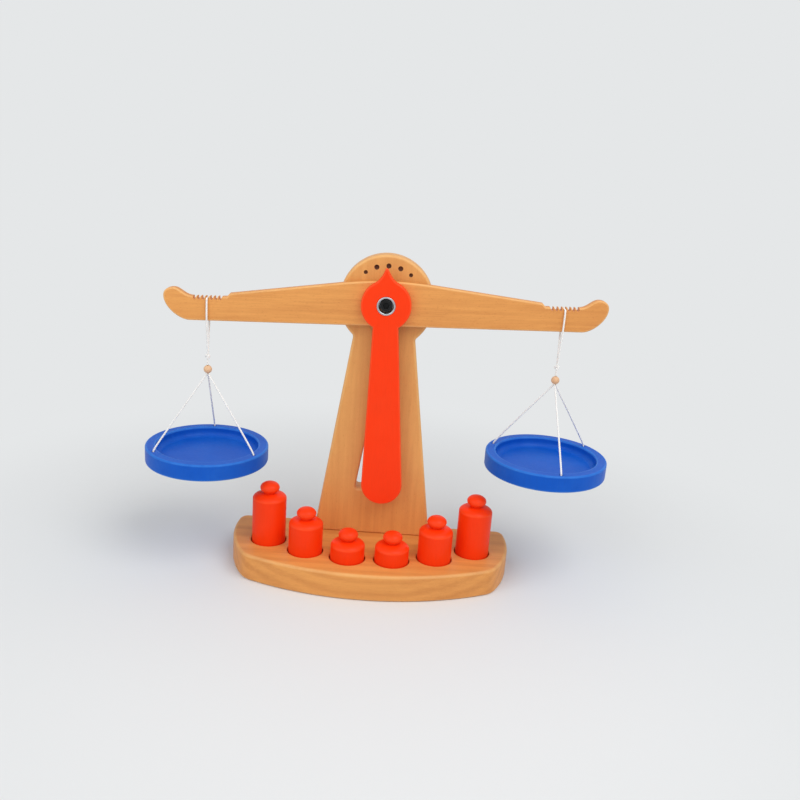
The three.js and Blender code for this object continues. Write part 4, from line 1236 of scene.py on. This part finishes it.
class SCALE_OT_cords(bpy.types.Operator):
    """Twist the hanger loops, links, pan cords and their knots"""

    bl_idname = "balance_scale.cords"
    bl_label = "Cords and knots"

    def execute(self, context):
        here = places(context.scene)
        for side in SIDES:
            self.hang_loop(here, side)
            self.hang_link(here, side)
            self.hang_pan_cords(here, side)
        return {"FINISHED"}

    def twist(self, here, name, path, diameter, body, node):
        """Twists one piece of cord along a path."""
        bm = bmesh.new()
        add_rope(bm, path, diameter, here.hanger.lay)
        return made(name, bm, "white_cotton", body, node, sharp=SHARP_ROPE)

    def hang(self, here, points, body, cord, knot, centre, radius, turned_by):
        """Twists a declared cord and ties its knot; both are given as piece and node."""
        path = smoothed(points, ROPE_STEP)
        piece = self.twist(here, cord[0], path, here.hanger.cord, body, cord[1])
        thin = here.hanger.cord * KNOT_THINNING
        winding = knot_path(centre, radius, thin, turned_by)
        tie = self.twist(here, knot[0], winding, thin, body, knot[1])

    def hang_loop(self, here, side):
        """The doubled cord over its notch, whose strands meet in a knot."""
        hanger, beam, notch = here.hanger, here.beam, here.notch[side]
        edge = beam.thickness / 2
        bend = here.strand - edge
        y = (hanger.cord + hanger.pair_gap) / 2
        z = hanger.knot + RUNNING_GAP - hanger.knot_drop
        strand = [(y, z), (y, z + hanger.cord), ((y + here.strand) / 2, (z - beam.drop) / 2)]
        strand += [(here.strand, -beam.drop), *arc(edge, -bend, bend, 0, math.pi / 2, 4)]
        points = [notch + Vector((0, y, z)) for y, z in strand]
        points += [notch + Vector((0, -y, z)) for y, z in reversed(strand)]
        cord = (f"{side}_loop_cord", f"{side}_hanger_loop")
        knot = (f"{side}_tied_knot", f"{side}_hanger_knot")
        centre, radius = notch - Vector((0, 0, hanger.knot_drop)), hanger.knot * KNOT_FULLNESS
        self.hang(here, points, f"{side}_hanger", cord, knot, centre, radius, turned_by=0.4)

    def hang_link(self, here, side):
        """The short cord between knot and bead."""
        hanger = here.hanger
        top = -hanger.knot_drop - hanger.knot - RUNNING_GAP
        foot = -hanger.bead_drop + hanger.bead + RUNNING_GAP
        points = [here.notch[side] + Vector((0, 0, z)) for z in (top, (top + foot) / 2, foot)]
        names = (f"{side}_bead_body", f"{side}_bead_link")
        self.twist(here, f"{side}_link_cord", smoothed(points, ROPE_STEP), hanger.cord, *names)

    def hang_pan_cords(self, here, side):
        """The cords from bead to rim, each through its hole to the knot that holds it."""
        hanger, notch, circle = here.hanger, here.notch[side], here.hole_circle
        half = hanger.cord / 2
        start = (hanger.cord + hanger.pair_gap) / math.sqrt(3)
        lean = math.atan2(circle, here.pan_drop - hanger.bead_drop)
        top = -hanger.bead_drop - hanger.bead - RUNNING_GAP - half * math.sin(lean)
        mouth = -here.pan_drop + half
        seat = -here.pan_drop - hanger.pan_height + hanger.knot_recess_depth
        bend = circle - hanger.cord * ((circle - start) / (top - mouth))
        for number, hole in zip(CORD_NUMBERS, rim_spots(here, side)):
            out = hole.normalized()
            points = [
                notch + out * start + Vector((0, 0, top)),
                notch + out * bend + Vector((0, 0, mouth + hanger.cord)),
                notch + hole + Vector((0, 0, mouth - half)),
                notch + hole + Vector((0, 0, seat)),
            ]
            body = f"{side}_pan_body"
            cord = (f"{side}_hung_cord_{number}", f"{side}_pan_cord_{number}")
            knot = (f"{side}_end_knot_{number}", f"{side}_rim_knot_{number}")
            centre = notch + hole + Vector((0, 0, seat - RUNNING_GAP - hanger.rim_knot))
            turned_by = number * 0.9
            self.hang(here, points, body, cord, knot, centre, hanger.rim_knot, turned_by)


class SCALE_OT_base(bpy.types.Operator):
    """Build the base board with its recesses, and the screws in it"""

    bl_idname = "balance_scale.base"
    bl_label = "Base board"

    def execute(self, context):
        here = places(context.scene)
        stand, weight = here.stand, here.weight
        board, holes = bmesh.new(), bmesh.new()
        thickness = stand.base_thickness
        add_board(board, [base_outline(stand)], thickness, stand.base_round, Matrix())
        radius, floor = weight.diameter / 2 + weight.clearance, thickness - weight.recess_depth
        for *_, x, y in weight_spots(here):
            at = Matrix.Translation((x, y, 0))
            add_drill(holes, radius, floor, thickness, at, TURNED_SIDES, RECESS_EDGE)
        add_screw_holes(holes, here, NARROW_SIDES)
        made("base_board", board, "beech_base", "stand", "base", [holes])
        for side in SIDES:
            self.drive_screw(here, side)
            refinish(f"{side}_dowel", "beech_small")
        return {"FINISHED"}

    def drive_screw(self, here, side):
        """A countersunk screw with a cross in its head."""
        stand, at = here.stand, here.screw[side]
        reach, width = stand.screw_head * 0.27, stand.screw_head * 0.075
        arm = [Vector((width, width)), Vector((width, reach)), Vector((-width, reach))]
        cross = [Matrix.Rotation(math.pi / 2 * i, 2) @ point for i in range(4) for point in arm]
        seat = stand.base_round / 2
        layers = ((seat - OVERRUN, 1), (seat + stand.screw_head_height * 0.6, 0.75))
        screw, slots = bmesh.new(), bmesh.new()
        add_turned(screw, screw_profile(stand, 0, 0), NARROW_SIDES, at)
        add_prism(slots, cross, layers, at)
        made(f"{side}_base_screw", screw, "plated_steel", "stand", f"{side}_screw", [slots])


class SCALE_OT_post(bpy.types.Operator):
    """Build the post with its dial head, marks and window"""

    bl_idname = "balance_scale.post"
    bl_label = "Post"

    def execute(self, context):
        here = places(context.scene)
        stand, pivot = here.stand, here.pivot
        thickness, reach = stand.post_thickness, stand.pivot_height - here.post_foot
        upright = standing(here.post_back, here.post_foot)
        centre = upright @ Matrix.Translation((0, reach, 0))
        post, bore, recess, marks, holes = [bmesh.new() for _ in range(5)]
        add_board(post, post_outlines(here), thickness, stand.post_round, upright)
        add_drill(bore, pivot.thread / 2 + RUNNING_GAP, 0, thickness, centre, through=True)
        turned_back = centre @ Matrix.Rotation(math.pi, 4, "X")
        depth = pivot.recess_depth
        add_drill(recess, pivot.recess / 2, -depth, 0, turned_back, MIDDLE_SIDES, RECESS_EDGE)
        for x, y, width in dial_marks(stand):
            profile = self.mark_profile(stand, width)
            add_turned(marks, profile, SMALL_SIDES, upright @ Matrix.Translation((x, reach + y, 0)))
        add_screw_holes(holes, here, HIDDEN_SIDES)
        cutters = [bore, recess, marks, holes]
        piece = made("post_board", post, "beech_post", "stand", "post", cutters)
        self.burn_marks(here, piece)
        return {"FINISHED"}

    def mark_profile(self, stand, width):
        """A rounded dimple's cutter."""
        floor = stand.post_thickness - stand.mark_depth
        bowl = [(0, floor), (width * 0.3, floor + stand.mark_depth * 0.12)]
        bowl += [(width * 0.44, floor + stand.mark_depth * 0.45), (width / 2, stand.post_thickness)]
        over = stand.post_thickness + OVERRUN
        return bowl + [(width / 2 + OVERRUN / 2, over), (0, over)]

    def burn_marks(self, here, piece):
        """Gives the faces inside the dial marks their scorched finish, and not the front's own."""
        piece.data.materials.append(finish_of("burnt_marks"))
        front, deepest = here.post_front, here.post_front + here.stand.mark_depth * 1.1
        for face in piece.data.polygons:
            place, facing_front = face.center, face.normal.y <= -0.999
            flat = Vector((place.x, place.z - here.stand.pivot_height))
            below = place.y > front + CONTACT_GAP or not facing_front
            for x, y, width in dial_marks(here.stand):
                inside_mark = (flat - Vector((x, y))).length < width / 2
                if inside_mark and below and front < place.y < deepest:
                    face.material_index = 1


class SCALE_OT_beam(bpy.types.Operator):
    """Build the notched beam"""

    bl_idname = "balance_scale.beam"
    bl_label = "Beam"

    def execute(self, context):
        here = places(context.scene)
        beam, radius = here.beam, here.pivot.shoulder / 2 + RUNNING_GAP
        board, notches, bore = [bmesh.new() for _ in range(3)]
        add_board(board, [beam_outline(beam)], beam.thickness, beam.edge_round, here.on_beam)
        for sign in SIDES.values():
            for i in range(-beam.notches, beam.notches + 1):
                x = sign * (here.hanger_reach + i * beam.notch_pitch)
                self.add_notch(notches, here, x, sign)
        add_drill(bore, radius, 0, beam.thickness, here.on_beam, through=True)
        made("notched_beam", board, "beech_beam", "beam_assembly", "beam", [notches, bore])
        return {"FINISHED"}

    def add_notch(self, bm, here, x, sign):
        """A notch with a round root, and an open flat towards the beam's middle."""
        beam, root = here.beam, here.notch_root
        wide = -root - (beam.notch_pitch - 2 * root) / 2
        top = beam.floor_rise + CONTACT_GAP
        section = arc(0, beam.floor_rise - beam.notch_depth + root, root, -math.pi, 0, 12)
        section += [Vector(p) for p in ((root, top + OVERRUN), (wide, top + OVERRUN), (wide, top))]
        outline = [Vector((x + sign * p.x, p.y)) for p in section]
        add_prism(bm, outline, ((-OVERRUN, 1), (beam.thickness + OVERRUN, 1)), here.on_beam)


class SCALE_OT_pointer(bpy.types.Operator):
    """Build the red pointer and finish its hidden pins"""

    bl_idname = "balance_scale.pointer"
    bl_label = "Pointer"

    def execute(self, context):
        here = places(context.scene)
        beam, radius = here.beam, here.pivot.ring / 2 + CONTACT_GAP
        thickness = beam.pointer_thickness
        ahead = here.on_beam @ raised(beam.thickness + CONTACT_GAP)
        board, eye = bmesh.new(), bmesh.new()
        add_board(board, [pointer_outline(beam)], thickness, beam.pointer_round, ahead)
        add_drill(eye, radius, 0, thickness, ahead, TURNED_SIDES, through=True)
        made("painted_pointer", board, "brushed_red", "beam_assembly", "pointer", [eye])
        for side in SIDES:
            refinish(f"{side}_pointer_pin", "beech_small")
        return {"FINISHED"}


class SCALE_OT_pivot(bpy.types.Operator):
    """Build the pivot's bolt, washers, nut and ring"""

    bl_idname = "balance_scale.pivot"
    bl_label = "Pivot hardware"

    def execute(self, context):
        here = places(context.scene)
        self.make_bolt(here)
        self.make_washers(here)
        self.make_nut(here)
        self.make_ring(here)
        return {"FINISHED"}

    def make_bolt(self, here):
        """A shoulder bolt with a hexagon socket in its round head."""
        pivot, pitch = here.pivot, here.pivot.thread_pitch
        back = -(here.beam_front - pivot.thin_washer - 2 * CONTACT_GAP)
        front = back + pivot.head_height
        shoulder_back = -(here.post_front - CONTACT_GAP)
        tip = -(here.nut_seat + pivot.back_thickness + pivot.nut_height)
        thread, shoulder, head = pivot.thread / 2, pivot.shoulder / 2, pivot.head / 2
        root = thread - pitch * 0.3
        profile = [(0, tip), (root, tip)]
        at = tip + pitch / 2
        while at < shoulder_back - 2 * pitch:
            profile += [(thread, at), (root, at + pitch / 2)]
            at += pitch
        profile += [(thread, at), (thread, shoulder_back), (shoulder, shoulder_back)]
        edges = [(head, back, FINE_EDGE), (head, front, pivot.head_round)]
        profile.append((shoulder, back))
        profile += filleted([(shoulder, back, 0), *edges, (0, front, 0)])[1:]
        bolt, socket = bmesh.new(), bmesh.new()
        add_turned(bolt, profile, MIDDLE_SIDES, here.upright)
        flare = 1 + (OVERRUN + BROKEN_EDGE) / corner_reach(pivot.socket)
        layers = [(front - pivot.socket_depth, 1), (front - BROKEN_EDGE, 1)]
        layers.append((front + OVERRUN, flare))
        add_prism(socket, hexagon(pivot.socket), layers, here.upright)
        made("shoulder_bolt", bolt, "blackened_steel", "stand", "pivot_bolt", [socket])

    def make_washers(self, here):
        """The washers under the bolt's head, behind the beam and under the nut."""
        pivot = here.pivot
        shoulder, thread = pivot.shoulder / 2 + RUNNING_GAP, pivot.thread / 2 + RUNNING_GAP
        thin, thick = pivot.thin_washer, pivot.back_thickness
        head_seat, beam_seat = here.beam_front - CONTACT_GAP, here.post_front - RUNNING_GAP / 2
        nut_face = here.nut_seat + CONTACT_GAP + thick
        for name, inner, across, back, thickness in (
            ("head_washer", shoulder, pivot.head_washer, head_seat, thin),
            ("spacer_washer", shoulder, pivot.spacer_washer, beam_seat, thin),
            ("back_washer", thread, pivot.back_washer, nut_face, thick),
        ):
            outer, low, high, edge = across / 2, -back, -back + thickness, thickness * 0.22
            corners = [(inner, low, edge), (outer, low, edge)]
            corners += [(outer, high, edge), (inner, high, edge)]
            bm = bmesh.new()
            add_turned(bm, filleted(corners, 3), MIDDLE_SIDES, here.upright, closed=True)
            made(f"plated_{name}", bm, "plated_steel", "stand", name)

    def make_nut(self, here):
        """A hexagon nut, whose corners are turned off towards its flat faces."""
        pivot, thread = here.pivot, here.pivot.thread / 2 + CONTACT_GAP
        front = here.nut_seat + pivot.back_thickness + 2 * CONTACT_GAP
        back = front + pivot.nut_height
        flat, reach = pivot.nut / 2 * 0.96, corner_reach(pivot.nut)
        fall = (reach - flat) * 0.5
        nut, crown, bore = [bmesh.new() for _ in range(3)]
        add_prism(nut, hexagon(pivot.nut), ((-back, 1), (-front, 1)), here.upright)
        profile = [(0, -back), (flat, -back), (reach + SUPPORT, -back + fall + SUPPORT / 2)]
        profile += [(reach + SUPPORT, -front - fall - SUPPORT / 2), (flat, -front), (0, -front)]
        add_turned(crown, profile, TURNED_SIDES, here.upright)
        add_drill(bore, thread, -back, -front, here.upright, NARROW_SIDES, BORE_EDGE, through=True)
        names = ("plated_steel", "stand", "pivot_nut")
        made("hexagon_nut", nut, *names, [bore], within=crown, sharp=SHARP_NUT)

    def make_ring(self, here):
        """The steel ring in the pointer's eye."""
        pivot, beam = here.pivot, here.beam
        low = beam.thickness + CONTACT_GAP
        high = low + beam.pointer_thickness + pivot.ring_lip
        outer = pivot.ring / 2
        inner = outer - pivot.ring_wall
        corners = [(inner, low, FINE_EDGE), (outer, low, FINE_EDGE)]
        corners += [(outer, high, RECESS_EDGE), (inner, high, RING_EDGE)]
        bm = bmesh.new()
        add_turned(bm, filleted(corners), TURNED_SIDES, here.on_beam, closed=True)
        made("steel_eye_ring", bm, "plated_steel", "beam_assembly", "pivot_ring")


class SCALE_OT_weights(bpy.types.Operator):
    """Turn the six weights"""

    bl_idname = "balance_scale.weights"
    bl_label = "Weights"

    def execute(self, context):
        here = places(context.scene)
        foot = here.stand.base_thickness - here.weight.recess_depth + RUNNING_GAP
        for name, body, rise, x, y in weight_spots(here):
            bm = bmesh.new()
            at = Matrix.Translation((x, y, foot))
            add_turned(bm, weight_profile(here.weight, rise), TURNED_SIDES, at)
            made(f"turned_{name}", bm, "brushed_red", body, f"weight_{name}")
        return {"FINISHED"}


class SCALE_OT_pans(bpy.types.Operator):
    """Turn the two blue pans and drill their rims"""

    bl_idname = "balance_scale.pans"
    bl_label = "Pans"

    def execute(self, context):
        here = places(context.scene)
        hanger = here.hanger
        height, depth = hanger.pan_height, hanger.knot_recess_depth
        rim, bowl, edge = hanger.pan_radius, hanger.bowl_radius, hanger.rim_round
        corners = [(0, -height, 0), (rim, -height, edge), (rim, 0, edge), (bowl, 0, edge)]
        corners.append((bowl, -hanger.bowl_depth, hanger.bowl_round - 2 * CONTACT_GAP))
        corners.append((0, -hanger.bowl_depth, 0))
        for side in SIDES:
            over = Matrix.Translation(here.notch[side] - Vector((0, 0, here.pan_drop)))
            pan, holes, recesses = [bmesh.new() for _ in range(3)]
            add_turned(pan, filleted(corners, 8), WIDE_SIDES, over)
            for hole in rim_spots(here, side):
                at = over @ Matrix.Translation(hole)
                add_drill(holes, hanger.cord_hole / 2, -height, 0, at)
                under = at @ raised(-height) @ Matrix.Rotation(math.pi, 4, "X")
                add_drill(recesses, hanger.knot_recess / 2, -depth, 0, under, KNOT_RECESS_SIDES)
            names = (f"{side}_pan_body", f"{side}_pan")
            made(f"{side}_painted_pan", pan, "brushed_blue", *names, [holes, recesses])
        return {"FINISHED"}


class SCALE_OT_beads(bpy.types.Operator):
    """Turn the two beads"""

    bl_idname = "balance_scale.beads"
    bl_label = "Beads"

    def execute(self, context):
        here = places(context.scene)
        radius = here.hanger.bead
        tilt = math.acos((here.hanger.cord / 2 + RUNNING_GAP / 2) / radius)
        for side in SIDES:
            middle = here.notch[side] - Vector((0, 0, here.hanger.bead_drop))
            ball = arc(0, 0, radius, -tilt, tilt, 28)
            bm = bmesh.new()
            add_turned(bm, ball, NARROW_SIDES, Matrix.Translation(middle), closed=True)
            made(f"{side}_wooden_bead", bm, "bead_wood", f"{side}_bead_body", f"{side}_bead")
        return {"FINISHED"}


GROUPS = {
    "scale_stand": StandSizes,
    "scale_pivot": PivotSizes,
    "scale_beam": BeamSizes,
    "scale_weights": WeightSizes,
    "scale_hangers": HangerSizes,
    "scale_finishes": Finishes,
    "scale_stage": StageSettings,
}
OPERATORS = (
    SCALE_OT_stage,
    SCALE_OT_cords,
    SCALE_OT_base,
    SCALE_OT_post,
    SCALE_OT_beam,
    SCALE_OT_pointer,
    SCALE_OT_pivot,
    SCALE_OT_weights,
    SCALE_OT_pans,
    SCALE_OT_beads,
)


class SCALE_PT_pieces(bpy.types.Panel):
    """Lists the pieces of the scale and their sizes"""

    bl_idname = "SCALE_PT_pieces"
    bl_label = "Balance Scale"
    bl_space_type = "VIEW_3D"
    bl_region_type = "UI"
    bl_category = "Balance Scale"

    def draw(self, context):
        for operator in OPERATORS:
            self.layout.operator(operator.bl_idname)
        for name, group_class in GROUPS.items():
            self.layout.label(text=group_class.__doc__)
            for key in group_class.__annotations__:
                self.layout.prop(getattr(context.scene, name), key)


def register():
    for made_class in (*GROUPS.values(), *OPERATORS, SCALE_PT_pieces):
        bpy.utils.register_class(made_class)
    for name, group_class in GROUPS.items():
        setattr(bpy.types.Scene, name, PointerProperty(type=group_class))


def unregister():
    for name in GROUPS:
        delattr(bpy.types.Scene, name)
    for made_class in reversed((*GROUPS.values(), *OPERATORS, SCALE_PT_pieces)):
        bpy.utils.unregister_class(made_class)


def main():
    register()
    for operator in OPERATORS:
        name = operator.bl_idname.split(".")[1]
        getattr(bpy.ops.balance_scale, name)()


if __name__ == "__main__":
    main()
